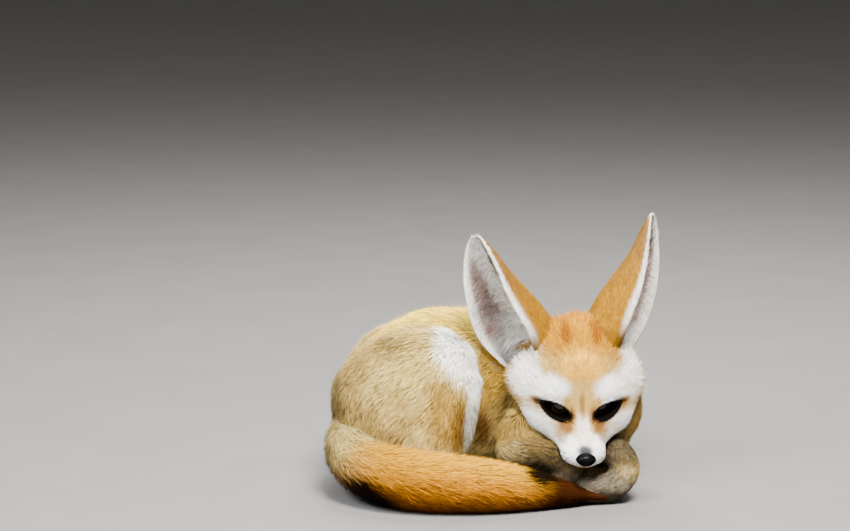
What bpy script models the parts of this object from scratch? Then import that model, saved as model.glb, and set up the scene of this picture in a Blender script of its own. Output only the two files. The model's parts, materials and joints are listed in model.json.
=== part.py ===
"""Fennec fox (Vulpes zerda), life size, lying curled with its tail swept round in front of the paws.

The animal faces the viewer, who looks along +Y: +X is the viewer's right and the animal's left,
+Z is up and the floor is z = 0. Tables of the body are in centimetres, because the named sizes
of a small animal read best that way, and every mesh is scaled to metres as it is made.
"""

import math
import random

import bmesh
import bpy
import numpy as np
from mathutils import Euler, Matrix, Vector

CM = 0.01
GAP = 0.0003
CUTTER_SIZE = 0.6
UP = Vector((0, 0, 1))

# Head sizes, in centimetres, in the head's own frame: the middle of the eyes is the origin,
# the muzzle points along -Y and the animal's left is +X.
EYE_SPACING = 2.38
EYE_RADIUS = 0.86
LID_THICKNESS = 0.10
EYE_OUTWARD = math.radians(20)
EYE_UPWARD = math.radians(9)
LID_SLANT = math.radians(22)
LID_OPENING = (1.02, 0.46, 0.42)
NOSE_TIP = Vector((0, -4.42, -1.42))
NOSE_SIZE = Vector((0.66, 0.46, 0.43))
EAR_WALL = 0.20

# Where the head sits: the middle of the eyes, and how the head is turned.
HEAD_PLACE = Vector((5.84, -3.4, 6.27))
HEAD_PITCH = math.radians(21)
HEAD_YAW = math.radians(5)
HEAD_ROLL = math.radians(1)

# Where each ear stands on the head, in the model's frame: the middle between its two rims at
# the root, its tip, how far its open side is turned outwards, and how deep its cup is drawn.
# 1 is the animal's left ear.
EARS = {
    1: (Vector((8.75, -1.3, 9.0)), Vector((10.75, 0.0, 18.1)), math.radians(72), 0.84),
    -1: (Vector((2.1, -1.6, 8.4)), Vector((-0.95, -1.6, 16.9)), math.radians(48), 0.94),
}

# The tail's centre line and the reach of its brush, from the root to the tip.
# Each row is x, y, z and the brush's radius.
TAIL = (
    (-8.4, 0.7, 4.1, 1.5),
    (-9.1, -1.9, 3.2, 1.75),
    (-8.3, -4.6, 2.4, 1.9),
    (-6.0, -6.5, 2.1, 2.05),
    (-3.0, -7.3, 1.95, 1.95),
    (0.3, -7.2, 1.7, 1.7),
    (3.0, -6.6, 1.3, 1.25),
    (5.0, -6.1, 0.95, 0.8),
    (6.5, -5.8, 0.7, 0.25),
)
TAIL_CUTS = (0.36, 0.68)

# Locks of the long coat: the tail's brush, the ruff of the cheeks and the tufts of the crown.
# The core of the brush reaches half way to the tips of its locks.
# Each lock is given by its length, width and thickness.
BRUSH_CORE = 0.5
BRUSH_ROWS = 10
BRUSH_AROUND = 7
BRUSH_LOCK = (4.2, 1.55, 0.26)
RUFF_LOCK = (2.4, 1.10, 0.20)
CROWN_LOCK = (1.3, 0.60, 0.16)

# Colours from the animal's coat and bare skin, as linear values.
COAT = (0.56, 0.36, 0.17)
PALE = (0.80, 0.74, 0.64)
ORANGE = (0.58, 0.27, 0.07)
DARK = (0.012, 0.010, 0.010)


def material(name, colour, roughness):
    made = bpy.data.materials.new(name)
    made.use_nodes = True
    shader = made.node_tree.nodes["Principled BSDF"]
    shader.inputs["Base Color"].default_value = (*colour, 1)
    shader.inputs["Roughness"].default_value = roughness
    return made


def clear_scene():
    for obj in list(bpy.data.objects):
        bpy.data.objects.remove(obj)


def collection(name):
    made = bpy.data.collections.new(name)
    bpy.context.scene.collection.children.link(made)
    return made


def object_of(name, bm, where):
    """An object of a bmesh, with its faces pointing out."""
    bmesh.ops.recalc_face_normals(bm, faces=bm.faces)
    mesh = bpy.data.meshes.new(name)
    bm.to_mesh(mesh)
    bm.free()
    obj = bpy.data.objects.new(name, mesh)
    where.objects.link(obj)
    return obj


def settle(obj):
    """Makes the shape that the modifiers give the object's own mesh."""
    graph = bpy.context.evaluated_depsgraph_get()
    graph.update()
    mesh = bpy.data.meshes.new_from_object(obj.evaluated_get(graph))
    obj.modifiers.clear()
    obj.data = mesh
    return obj


def drop(*objects):
    for obj in objects:
        bpy.data.objects.remove(obj)


def smooth_rows(rows, steps):
    """A Catmull-Rom curve through rows of numbers, with this many rows to a span."""
    rows = np.array(rows, float)
    ends = np.vstack((2 * rows[0] - rows[1], rows, 2 * rows[-1] - rows[-2]))
    made = []
    for i in range(1, len(ends) - 2):
        before, start, end, after = ends[i - 1 : i + 3]
        for t in np.arange(steps) / steps:
            made.append(
                0.5
                * (
                    2 * start
                    + (end - before) * t
                    + (2 * before - 5 * start + 4 * end - after) * t**2
                    + (3 * start - before - 3 * end + after) * t**3
                )
            )
    return np.vstack((made, rows[-1]))


def bent(value, power):
    return math.copysign(abs(value) ** (2 / power), value)


def sweep(rows, around, steps, up=UP):
    """A closed loft. A row is x, y, z, half width, rise and drop in centimetres, and may end with
    how square the section is above and below its widest line, where 2 is round."""
    table = smooth_rows(rows, steps)
    centres = [Vector(row[:3]) for row in table]
    bm = bmesh.new()
    rings = []
    for i, row in enumerate(table):
        ahead = centres[min(i + 1, len(table) - 1)] - centres[max(i - 1, 0)]
        side = ahead.cross(up).normalized()
        rise = side.cross(ahead).normalized()
        powers = row[6:8] if len(row) > 6 else (2, 2)
        ring = []
        for k in range(around):
            angle = math.tau * k / around
            above = math.sin(angle) > 0
            power = powers[0] if above else powers[1]
            x = row[3] * bent(math.cos(angle), power)
            z = (row[4] if above else row[5]) * bent(math.sin(angle), power)
            ring.append(bm.verts.new((centres[i] + side * x + rise * z) * CM))
        rings.append(ring)
    for near, far in zip(rings, rings[1:]):
        for k in range(around):
            after = (k + 1) % around
            bm.faces.new((near[k], near[after], far[after], far[k]))
    for ring in (rings[0], rings[-1]):
        middle = bm.verts.new(sum((v.co for v in ring), Vector()) / around)
        for k in range(around):
            bm.faces.new((middle, ring[k], ring[(k + 1) % around]))
    bmesh.ops.recalc_face_normals(bm, faces=bm.faces)
    return bm


def fused(name, shapes, voxel, rounds, triangles, where):
    """One smooth closed surface over shapes that overlap, thinned to about this many triangles."""
    whole = bmesh.new()
    for shape in shapes:
        mesh = bpy.data.meshes.new("shape")
        shape.to_mesh(mesh)
        whole.from_mesh(mesh)
        bpy.data.meshes.remove(mesh)
        shape.free()
    mesh = bpy.data.meshes.new(name)
    whole.to_mesh(mesh)
    whole.free()
    obj = bpy.data.objects.new(name, mesh)
    where.objects.link(obj)
    skin = obj.modifiers.new("one skin", "REMESH")
    skin.mode = "VOXEL"
    skin.voxel_size = voxel * CM
    soft = obj.modifiers.new("soft creases", "SMOOTH")
    soft.factor = 0.5
    soft.iterations = rounds
    settle(obj)
    return thinned(obj, triangles)


def thinned(obj, triangles):
    corners = sum(len(face.vertices) - 2 for face in obj.data.polygons)
    fewer = obj.modifiers.new("fewer faces", "DECIMATE")
    fewer.ratio = min(1, triangles / corners)
    return settle(obj)


def swollen(obj, where, distance=GAP):
    """A copy with every face moved out by a thin gap, to cut a neighbour with."""
    copy = bpy.data.objects.new(obj.name + "_cutter", obj.data.copy())
    where.objects.link(copy)
    copy.hide_render = True
    copy.display_type = "WIRE"
    bm = bmesh.new()
    bm.from_mesh(copy.data)
    bm.normal_update()
    places = [v.co + v.normal * distance * min(1.5, v.calc_shell_factor()) for v in bm.verts]
    for vertex, place in zip(bm.verts, places):
        vertex.co = place
    bm.to_mesh(copy.data)
    bm.free()
    return copy


def combine(obj, other, operation, solver="MANIFOLD"):
    change = obj.modifiers.new(operation.lower(), "BOOLEAN")
    change.operation = operation
    change.solver = solver
    change.object = other
    return settle(obj)


def largest_body(obj):
    """Keeps the largest closed surface of an object and drops loose scraps."""
    bm = bmesh.new()
    bm.from_mesh(obj.data)
    left = set(bm.faces)
    bodies = []
    while left:
        body = [left.pop()]
        for face in body:
            for edge in face.edges:
                for other in edge.link_faces:
                    if len(edge.link_faces) == 2 and other in left:
                        left.remove(other)
                        body.append(other)
        bodies.append(body)
    bodies.sort(key=lambda body: -sum(face.calc_area() for face in body))
    loose = [face for body in bodies[1:] for face in body]
    bmesh.ops.delete(bm, geom=loose, context="FACES")
    bm.to_mesh(obj.data)
    bm.free()
    return obj


def carve(obj, cutters):
    """Cuts an object clear of its neighbours' swollen copies, which leaves them face to face."""
    for cutter in cutters:
        combine(obj, cutter, "DIFFERENCE")
    return largest_body(obj)


def sliced(obj, point, normal, keep_front, where):
    """Keeps what lies on one side of a plane, half a gap back from it."""
    towards = Vector(normal).normalized() * (1 if keep_front else -1)
    block = bmesh.new()
    bmesh.ops.create_cube(block, size=CUTTER_SIZE)
    turn = towards.to_track_quat("Z", "Y").to_matrix().to_4x4()
    middle = Vector(point) + towards * (GAP / 2 - CUTTER_SIZE / 2)
    bmesh.ops.transform(block, matrix=Matrix.Translation(middle) @ turn, verts=block.verts)
    cutter = object_of("block", block, where)
    combine(obj, cutter, "DIFFERENCE")
    drop(cutter)
    return largest_body(obj)


def united(core, locks, where):
    """Fuses a collection of closed locks with the core that they are rooted in."""
    change = core.modifiers.new("locks", "BOOLEAN")
    change.operation = "UNION"
    change.solver = "MANIFOLD"
    change.operand_type = "COLLECTION"
    change.collection = locks
    settle(core)
    for obj in list(locks.objects):
        bpy.data.objects.remove(obj)
    bpy.data.collections.remove(locks)
    return largest_body(core)


def lock(path, outwards, width, thickness, tip_past=0):
    """A flat lock of hair that tapers to a tip, along a path from its sunken root.

    Its section is a flat diamond, whose broad side faces outwards. The tip may go past the path.
    """
    bm = bmesh.new()
    rings = []
    for i, (share, swell) in enumerate(LOCK_SECTIONS):
        at = path[i]
        ahead = path[i + 1] - path[max(i - 1, 0)]
        side = ahead.cross(outwards[i]).normalized()
        out = side.cross(ahead).normalized()
        half, rise = side * width / 2 * swell, out * thickness / 2 * min(1, swell + 0.2)
        rings.append([bm.verts.new(at + step) for step in (half, rise, -half, -rise)])
    tip = bm.verts.new(path[-1] + (path[-1] - path[-2]).normalized() * tip_past)
    bm.faces.new(rings[0])
    for near, far in zip(rings, rings[1:]):
        for k in range(4):
            bm.faces.new((near[k], near[(k + 1) % 4], far[(k + 1) % 4], far[k]))
    for k in range(4):
        bm.faces.new((rings[-1][k], rings[-1][(k + 1) % 4], tip))
    bmesh.ops.triangulate(bm, faces=bm.faces)
    return bm


def copy_of(obj, name, where):
    copy = bpy.data.objects.new(name, obj.data.copy())
    where.objects.link(copy)
    return copy


def on_floor(obj, where):
    """Cuts away what is under the floor, which leaves a small flat to rest on."""
    return sliced(obj, (0, 0, -GAP / 2), UP, True, where)


def finished(obj, look):
    obj.data.materials.clear()
    obj.data.materials.append(look)
    obj.data.shade_smooth()
    obj.data.set_sharp_from_angle(angle=math.radians(50))
    return obj


# How wide a lock is at each section before its tip, at shares of its length, and how far out
# of the tail's centre line a lock of the brush lies there, as a share of the brush's reach.
LOCK_SECTIONS = ((0.0, 0.55), (0.35, 1.0), (0.72, 0.72))
BRUSH_RISE = ((0.0, 0.25), (0.35, 0.78), (0.72, 0.96), (1.0, 1.0))

# The trunk: torso, neck, shoulders and haunches, made as one and parted with thin cuts.
TORSO = (
    (-10.1, 1.2, 4.4, 0.8, 0.9, 1.5),
    (-9.5, 1.3, 4.6, 2.2, 2.0, 3.0),
    (-7.9, 1.6, 5.3, 3.6, 3.1, 4.7),
    (-6.0, 2.1, 5.9, 4.2, 4.1, 5.7),
    (-3.6, 3.0, 6.3, 4.5, 4.9, 6.3),
    (-0.6, 3.8, 6.2, 4.5, 4.8, 6.3),
    (2.6, 3.6, 5.7, 4.3, 4.7, 5.8),
    (5.2, 2.2, 5.3, 4.0, 4.4, 5.3),
    (6.9, 0.2, 4.9, 3.3, 3.6, 4.6),
    (7.5, -1.2, 4.7, 2.2, 2.4, 4.2),
    (7.7, -1.9, 4.4, 0.9, 1.1, 2.6),
)
NECK = (
    (4.2, 2.8, 6.8, 3.0, 3.0, 3.4),
    (5.0, 1.9, 7.4, 3.4, 3.2, 3.6),
    (5.7, 0.8, 7.8, 3.5, 3.2, 3.5),
    (6.0, -0.4, 8.0, 3.3, 3.0, 3.3),
    (6.1, -1.0, 8.0, 2.4, 2.2, 2.4),
)
THIGH_RIGHT = (
    (-9.6, -0.2, 5.0, 0.8, 1.2, 1.8),
    (-8.6, -0.8, 5.6, 2.0, 2.6, 3.6),
    (-6.6, -1.5, 6.5, 2.8, 3.5, 4.6),
    (-4.3, -2.2, 7.3, 3.0, 3.9, 4.8),
    (-2.6, -2.8, 7.9, 2.6, 3.4, 4.0),
    (-1.5, -3.2, 8.2, 1.7, 2.4, 2.9),
    (-0.9, -3.4, 8.3, 0.7, 1.2, 1.6),
)
SHANK_RIGHT = (
    (-1.9, -3.2, 8.9, 0.7, 0.7, 0.8),
    (-2.0, -3.3, 8.2, 1.5, 1.4, 1.5),
    (-2.4, -3.7, 6.2, 1.6, 1.7, 1.9),
    (-3.2, -4.1, 4.0, 1.4, 1.7, 2.0),
    (-4.6, -4.3, 2.3, 1.1, 1.3, 1.4),
    (-6.0, -4.2, 1.3, 0.8, 0.9, 0.9),
    (-6.5, -4.1, 1.0, 0.3, 0.4, 0.4),
)
FOOT_RIGHT = (
    (-6.4, -4.1, 0.95, 0.4, 0.4, 0.5),
    (-5.8, -4.2, 0.95, 0.75, 0.7, 1.0),
    (-3.0, -4.4, 0.85, 0.7, 0.6, 0.9),
    (-0.6, -4.5, 0.8, 0.85, 0.65, 0.85),
    (0.4, -4.5, 0.75, 0.75, 0.55, 0.8),
    (0.9, -4.5, 0.7, 0.3, 0.3, 0.4),
)
THIGH_LEFT = (
    (-8.8, 4.2, 5.2, 1.2, 2.0, 2.6),
    (-7.6, 5.0, 5.6, 2.2, 3.4, 4.0),
    (-5.4, 5.9, 6.0, 2.7, 4.0, 4.6),
    (-3.2, 6.7, 6.2, 2.6, 3.6, 4.4),
    (-1.4, 7.2, 6.4, 1.9, 2.6, 3.2),
    (-0.6, 7.3, 6.4, 0.8, 1.2, 1.5),
)
SHANK_LEFT = (
    (-1.6, 7.2, 7.0, 0.6, 0.6, 0.7),
    (-1.7, 7.3, 6.2, 1.3, 1.3, 1.4),
    (-2.6, 7.7, 3.9, 1.3, 1.5, 1.8),
    (-4.2, 7.9, 2.2, 1.0, 1.2, 1.3),
    (-5.6, 7.8, 1.2, 0.7, 0.8, 0.9),
    (-6.1, 7.7, 0.9, 0.3, 0.4, 0.4),
)
FOOT_LEFT = (
    (-6.0, 7.7, 0.9, 0.4, 0.4, 0.5),
    (-5.4, 7.8, 0.9, 0.75, 0.7, 0.95),
    (-2.6, 8.1, 0.8, 0.7, 0.6, 0.85),
    (-0.2, 8.3, 0.75, 0.85, 0.6, 0.8),
    (0.7, 8.3, 0.7, 0.7, 0.5, 0.75),
    (1.1, 8.3, 0.65, 0.3, 0.3, 0.4),
)
UPPER_ARM_RIGHT = (
    (3.4, 0.6, 8.2, 1.0, 1.0, 1.2),
    (3.9, -0.2, 7.2, 2.0, 1.9, 2.2),
    (4.0, -1.2, 5.6, 2.2, 2.2, 2.3),
    (2.8, -2.0, 4.3, 1.8, 1.9, 2.0),
    (1.4, -2.5, 3.2, 1.3, 1.3, 1.4),
    (0.8, -2.6, 2.9, 0.6, 0.6, 0.7),
)
UPPER_ARM_LEFT = (
    (7.2, 1.6, 7.6, 1.0, 1.0, 1.2),
    (8.0, 0.8, 6.6, 1.8, 1.8, 2.0),
    (8.2, 0.0, 5.2, 2.0, 2.0, 2.1),
    (7.6, -0.2, 3.8, 1.7, 1.7, 1.8),
    (6.8, 0.2, 2.8, 1.2, 1.2, 1.3),
    (6.5, 0.3, 2.4, 0.5, 0.5, 0.6),
)
FORELEG_RIGHT = (
    (0.7, -2.7, 2.9, 0.6, 0.6, 0.6),
    (1.2, -3.0, 3.0, 1.05, 1.0, 1.05),
    (2.9, -4.0, 3.1, 1.0, 0.95, 1.0),
    (4.4, -4.6, 3.05, 0.95, 0.9, 0.95),
    (5.2, -4.7, 2.6, 0.95, 0.9, 0.9),
    (5.1, -4.6, 1.8, 0.95, 0.85, 0.85),
    (4.6, -4.4, 1.1, 0.95, 0.85, 0.85),
    (4.2, -4.2, 0.7, 0.5, 0.45, 0.45),
)
FORELEG_LEFT = (
    (6.2, 0.0, 2.9, 0.6, 0.6, 0.6),
    (6.7, -0.6, 3.1, 1.1, 1.0, 1.1),
    (7.8, -2.6, 3.1, 1.05, 0.95, 1.05),
    (8.7, -4.2, 2.6, 1.0, 0.95, 0.95),
    (8.7, -4.9, 1.8, 0.95, 0.9, 0.9),
    (7.9, -5.1, 1.2, 0.9, 0.9, 1.0),
    (6.8, -4.9, 1.0, 0.95, 0.85, 1.05),
    (6.1, -4.7, 0.95, 0.8, 0.7, 0.95),
    (5.9, -4.6, 0.9, 0.4, 0.4, 0.5),
)

LEGS = {
    "hindleg_right": (THIGH_RIGHT, SHANK_RIGHT, FOOT_RIGHT),
    "hindleg_left": (THIGH_LEFT, SHANK_LEFT, FOOT_LEFT),
    "foreleg_right": (UPPER_ARM_RIGHT, FORELEG_RIGHT),
    "foreleg_left": (UPPER_ARM_LEFT, FORELEG_LEFT),
}
NECK_CUT = (Vector((5.3, 1.5, 7.9)) * CM, Vector((0.35, -0.8, 0.45)))

# The head, from the tip of the muzzle to the back of the skull, in its own frame.
HEAD = (
    (0, -4.40, -1.65, 0.30, 0.25, 0.25, 2.0, 2.0),
    (0, -4.25, -1.65, 0.80, 0.55, 0.50, 2.0, 2.0),
    (0, -3.80, -1.65, 1.30, 0.75, 0.75, 2.1, 2.0),
    (0, -3.10, -1.65, 1.62, 0.95, 0.90, 2.2, 2.0),
    (0, -2.30, -1.56, 1.78, 1.20, 1.10, 2.1, 2.0),
    (0, -1.50, -1.32, 2.15, 1.40, 1.40, 2.0, 1.9),
    (0, -0.70, -0.95, 2.95, 1.75, 1.85, 2.0, 1.8),
    (0, 0.20, -0.60, 3.75, 2.60, 2.20, 1.7, 1.8),
    (0, 1.20, -0.20, 4.30, 3.60, 2.50, 1.5, 1.8),
    (0, 2.30, 0.10, 4.40, 4.30, 2.70, 1.45, 1.9),
    (0, 3.40, 0.20, 4.00, 4.35, 2.70, 1.5, 2.0),
    (0, 4.30, 0.30, 3.10, 3.40, 2.30, 1.7, 2.0),
    (0, 4.90, 0.20, 1.90, 1.80, 1.50, 2.0, 2.0),
    (0, 5.10, 0.25, 0.80, 0.70, 0.70, 2.0, 2.0),
)
# Swellings and hollows of the face: centre on the animal's left, reach and push, mirrored.
FACE_FORMS = (
    ((1.00, -3.5, -1.90), 0.60, (0.16, -0.04, -0.02)),
    ((1.45, -2.1, -0.9), 0.75, (-0.16, 0.0, -0.05)),
    ((1.7, -0.5, 1.0), 0.9, (0.05, -0.28, 0.12)),
    ((2.9, -0.6, -1.3), 1.1, (0.15, -0.15, 0.0)),
    ((3.9, 1.6, -1.2), 1.5, (-0.45, 0.0, 0.25)),
)
# The ruff's locks stand in rows on each cheek: how far back a row is, how far round the head
# each of its locks is, from straight out at 0 to the throat at -90 degrees.
RUFF_ROWS = (
    (-1.2, (-52, -28)),
    (-0.4, (-66, -40, -14)),
    (0.5, (-54, -28, -2)),
    (1.4, (-66, -40, -14, 12)),
)
CROWN_TUFTS = ((-1.0, 2.3), (-0.35, 1.9), (0.35, 2.2), (0.95, 2.5), (0.05, 3.0))
# How far each point of a ruff lock is from the skin, and the way that it lies.
RUFF_RISE = (-0.35, 0.20, 0.40, 0.55)
CROWN_RISE = (-0.30, 0.20, 0.42, 0.60)


def head_to_world():
    turn = Euler((HEAD_PITCH, 0, 0)).to_matrix()
    turn = Euler((0, 0, HEAD_YAW)).to_matrix() @ Euler((0, HEAD_ROLL, 0)).to_matrix() @ turn
    return Matrix.Translation(HEAD_PLACE * CM) @ turn.to_4x4()


def eye_frame(side):
    """The place of an eyeball in the head, with its local -Y along the line of sight."""
    place = Vector((side * EYE_SPACING / 2, 0, 0)) * CM
    turn = Euler((-EYE_UPWARD, 0, side * EYE_OUTWARD), "XYZ").to_matrix()
    return Matrix.Translation(place) @ turn.to_4x4()


def ball(radius, segments=16, rings=10):
    bm = bmesh.new()
    bmesh.ops.create_uvsphere(bm, u_segments=segments, v_segments=rings, radius=radius * CM)
    return bm


def lid_opening(side):
    """The almond between the lids, as a prism along the line of sight."""
    half, above, below = LID_OPENING
    bm = bmesh.new()
    corners = []
    count = 20
    for k in range(count):
        angle = math.tau * k / count
        x = half * math.cos(angle)
        height = above if math.sin(angle) > 0 else below
        z = height * bent(math.sin(angle), 1.5)
        corners.append(bm.verts.new((x * CM, -2 * EYE_RADIUS * CM, z * CM)))
    face = bm.faces.new(corners)
    pushed = bmesh.ops.extrude_face_region(bm, geom=[face])["geom"]
    moved = [v for v in pushed if isinstance(v, bmesh.types.BMVert)]
    bmesh.ops.translate(bm, verts=moved, vec=(0, 2 * EYE_RADIUS * CM, 0))
    slant = Matrix.Rotation(side * LID_SLANT, 4, "Y")
    bmesh.ops.transform(bm, matrix=eye_frame(side) @ slant.inverted(), verts=bm.verts)
    return bm


def face_formed(bm):
    """Pushes the swellings and hollows of the face out of the plain loft."""
    for vertex in bm.verts:
        moved = Vector()
        for centre, reach, push in FACE_FORMS:
            for side in (1, -1):
                place = Vector((side * centre[0], centre[1], centre[2])) * CM
                share = math.exp(-((vertex.co - place).length / (reach * CM)) ** 2)
                moved += Vector((side * push[0], push[1], push[2])) * CM * share
        vertex.co += moved
    return bm


def nose_pad():
    bm = ball(1, 14, 9)
    for vertex in bm.verts:
        x, y, z = vertex.co / CM
        narrow = 1 - 0.28 * max(0, -z)
        vertex.co = Vector((x * NOSE_SIZE.x * narrow, y * NOSE_SIZE.y, z * NOSE_SIZE.z)) * CM
        vertex.co += NOSE_TIP * CM
    return bm


def nostril(side):
    bm = ball(1, 8, 6)
    turn = Euler((0, side * math.radians(-35), side * math.radians(30))).to_matrix()
    for vertex in bm.verts:
        x, y, z = vertex.co / CM
        place = turn @ Vector((x * 0.17, y * 0.22, z * 0.10))
        vertex.co = (place + NOSE_TIP + Vector((side * 0.33, -0.40, 0.02))) * CM
    return bm


# The line of the mouth, from the corner on the animal's left to the middle.
MOUTH = (
    (1.80, -1.95, -2.00),
    (1.35, -2.80, -2.26),
    (0.95, -3.60, -2.28),
    (0.45, -4.22, -2.18),
    (0.00, -4.40, -2.10),
)
MOUTH_GROOVE = 0.06


def groove(points, radius, skin):
    """A thin tube along points drawn to the skin, to cut a crease with."""
    path = smooth_rows(points, 3)
    placed = []
    for point in path:
        _, near, _, _ = skin.closest_point_on_mesh(Vector(point) * CM)
        placed.append((*(near / CM), radius, radius, radius))
    return sweep(placed, 6, 1)


# An ear's half width and depth at shares of its length, from the root to the tip.
EAR_WIDTHS = (
    (-0.14, 1.70, 2.90),
    (0.08, 2.35, 3.60),
    (0.22, 2.45, 3.80),
    (0.36, 2.35, 3.60),
    (0.50, 2.13, 3.00),
    (0.62, 1.92, 2.30),
    (0.73, 1.70, 1.65),
    (0.83, 1.36, 1.15),
    (0.91, 0.98, 0.70),
    (0.97, 0.60, 0.35),
    (1.00, 0.25, 0.15),
)
EAR_HOLLOW = math.radians(98)
EAR_BASE_WRAP = math.radians(38)
EAR_BOW = 0.8


def ear_frame(side):
    """The root of an ear, with +Z to the tip and -Y out of the open side, and the ear's length."""
    root, tip, outward, _ = EARS[side]
    along = (tip - root).normalized()
    open_side = Vector((side * math.sin(outward), -math.cos(outward), 0))
    across = along.cross(open_side).normalized()
    back = across.cross(along)
    turn = Matrix((across, -back, along)).transposed()
    return Matrix.Translation(root * CM) @ turn.to_4x4(), (tip - root).length


def ear_wall(rows):
    """Closes an open sheet, given as rows of points, into a wall that thins towards the tip."""
    sheet = bmesh.new()
    grid = [[sheet.verts.new(point) for point in row] for row in rows]
    for low, high in zip(grid, grid[1:]):
        for k in range(len(low) - 1):
            sheet.faces.new((low[k], low[k + 1], high[k + 1], high[k]))
    sheet.normal_update()
    bm = bmesh.new()
    sides = []
    for way in (0.5, -0.5):
        side = []
        for i, row in enumerate(grid):
            left = 1 - i / (len(grid) - 1)
            wall = EAR_WALL * min(1, 0.3 + left / 0.2) * CM
            side.append([bm.verts.new(v.co + v.normal * wall * way) for v in row])
        sides.append(side)
    sheet.free()
    for side in sides:
        for low, high in zip(side, side[1:]):
            for k in range(len(low) - 1):
                bm.faces.new((low[k], low[k + 1], high[k + 1], high[k]))
    outer, inner = (
        side[0] + [row[-1] for row in side[1:]] + side[-1][-2::-1] + [row[0] for row in side[-2:0:-1]]
        for side in sides
    )
    for k in range(len(outer)):
        after = (k + 1) % len(outer)
        bm.faces.new((outer[k], outer[after], inner[after], inner[k]))
    return bm


def ear_shell(side, around=10, steps=2):
    """The cup of an ear: open to the front, closed round at its root and pointed at its tip."""
    frame, length = ear_frame(side)
    rows = []
    for height, half, depth in smooth_rows(EAR_WIDTHS, steps) * (1, 1, EARS[side][3]):
        wrap = EAR_HOLLOW + EAR_BASE_WRAP * max(0, 1 - height / 0.3)
        bow = EAR_BOW * math.sin(math.pi * max(0, height))
        row = []
        for k in range(around + 1):
            angle = wrap * (2 * k / around - 1)
            x = half * math.sin(angle)
            y = depth * (math.cos(angle) - math.cos(wrap)) / (1 - math.cos(wrap)) - bow
            row.append(frame @ (Vector((x, y, height * length)) * CM))
        rows.append(row)
    return ear_wall(rows)


def add_ear(side, name, cutters, parts):
    return carve(object_of(name, ear_shell(side), parts), cutters)


def tail_place(path, row):
    """The centre, the way ahead and the brush's reach at a share of the tail's length."""
    row = min(max(row, 0), len(path) - 1.001)
    low = int(row)
    here = path[low] + (path[low + 1] - path[low]) * (row - low)
    ahead = Vector(path[low + 1][:3]) - Vector(path[low][:3])
    return Vector(here[:3]) * CM, ahead.normalized(), here[3] * CM


def brush_lock(path, row, turn, steps, draw):
    """One lock of the brush: it leaves the core and lies back along the tail at the full reach."""
    length, width, thickness = (size * CM * draw.uniform(0.9, 1.12) for size in BRUSH_LOCK)
    points = []
    outwards = []
    for share, height in BRUSH_RISE:
        centre, ahead, reach = tail_place(path, row + share * length / steps)
        side = ahead.cross(UP).normalized()
        out = side * math.cos(turn) + side.cross(ahead) * math.sin(turn)
        points.append(centre + out * reach * height)
        outwards.append(out)
    narrow = min(1, tail_place(path, row + 0.5 * length / steps)[2] / (1.6 * CM) + 0.15)
    return lock(points, outwards, width * narrow, thickness * max(narrow, 0.7))


def add_tail(body, parts, guides):
    """The tail, parted into three lengths by cuts across its centre line."""
    core = [(x, y, z, *(reach * BRUSH_CORE,) * 3) for x, y, z, reach in TAIL]
    whole = object_of("tail", sweep(core, 10, 2), guides)
    path = smooth_rows(TAIL, 12)
    steps = sum(math.dist(a[:3], b[:3]) for a, b in zip(path, path[1:])) * CM / (len(path) - 1)
    draw = random.Random(7)
    locks = collection("brush locks")
    for i in range(BRUSH_ROWS):
        row = (i / BRUSH_ROWS - 0.06) * (len(path) - 1)
        reach = tail_place(path, row)[2] / CM
        count = max(4, round(BRUSH_AROUND * min(1, reach / 1.9)))
        for k in range(count):
            turn = math.tau * (k + (i % 2) / 2 + draw.uniform(-0.12, 0.12)) / count
            shape = brush_lock(path, row + draw.uniform(-1, 1), turn, steps, draw)
            object_of("lock", shape, locks)
    united(whole, locks, guides)
    on_floor(whole, guides)
    carve(whole, body)
    lengths = []
    names = ("tail_base", "tail_middle", "tail_tip")
    cuts = [round(share * (len(path) - 1)) for share in TAIL_CUTS]
    for i, name in enumerate(names):
        length = copy_of(whole, name, parts)
        for j, front in ((i - 1, True), (i, False)):
            if 0 <= j < len(cuts):
                at = Vector(path[cuts[j]][:3]) * CM
                along = Vector(path[cuts[j] + 1][:3]) - Vector(path[cuts[j] - 1][:3])
                sliced(length, at, along, front, guides)
        lengths.append(length)
    drop(whole)
    return lengths


def skin_lock(skin, start, towards, size, rises, wanted):
    """A lock rooted in a skin that lies along it towards one way, at these heights over it.

    Its cutter is the same lock made fatter and longer, so that it clears the lock by the gap.
    """
    length, width, thickness = (part * CM for part in size)
    points = []
    outwards = []
    for (share, _), rise in zip((*LOCK_SECTIONS, (1.0, 0)), rises):
        _, near, normal, _ = skin.closest_point_on_mesh(start + towards * share * length)
        points.append(near + normal * rise * CM)
        outwards.append(normal)
    if wanted == "cutter":
        return lock(points, outwards, width * 1.7, thickness * 2.4, 0.45 * CM)
    return lock(points, outwards, width, thickness)


def add_head_locks(head, skin, wanted, guides):
    """The ruff that sweeps back from the cheeks, and the tufts between the ears."""
    draw = random.Random(11)
    locks = collection("head locks")
    for back, turns in RUFF_ROWS:
        for side in (1, -1):
            for degrees in turns:
                turn = math.radians(degrees + draw.uniform(-4, 4))
                out = Vector((side * math.cos(turn), 0, math.sin(turn)))
                down = 0.5 + 0.3 * max(0, -math.sin(turn))
                towards = Vector((side * 0.35, 0.9, -down)).normalized()
                start = (Vector((0, back, -0.2)) + out * 4.5) * CM
                size = [part * draw.uniform(0.9, 1.15) for part in RUFF_LOCK]
                shape = skin_lock(skin, start, towards, size, RUFF_RISE, wanted)
                object_of("lock", shape, locks)
    for x, y in CROWN_TUFTS:
        start = Vector((x, y, 4.9)) * CM
        towards = Vector((x * 0.15, 0.9, 0)).normalized()
        size = [part * draw.uniform(0.85, 1.15) for part in CROWN_LOCK]
        shape = skin_lock(skin, start, towards, size, CROWN_RISE, wanted)
        object_of("lock", shape, locks)
    return united(head, locks, guides)


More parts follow.
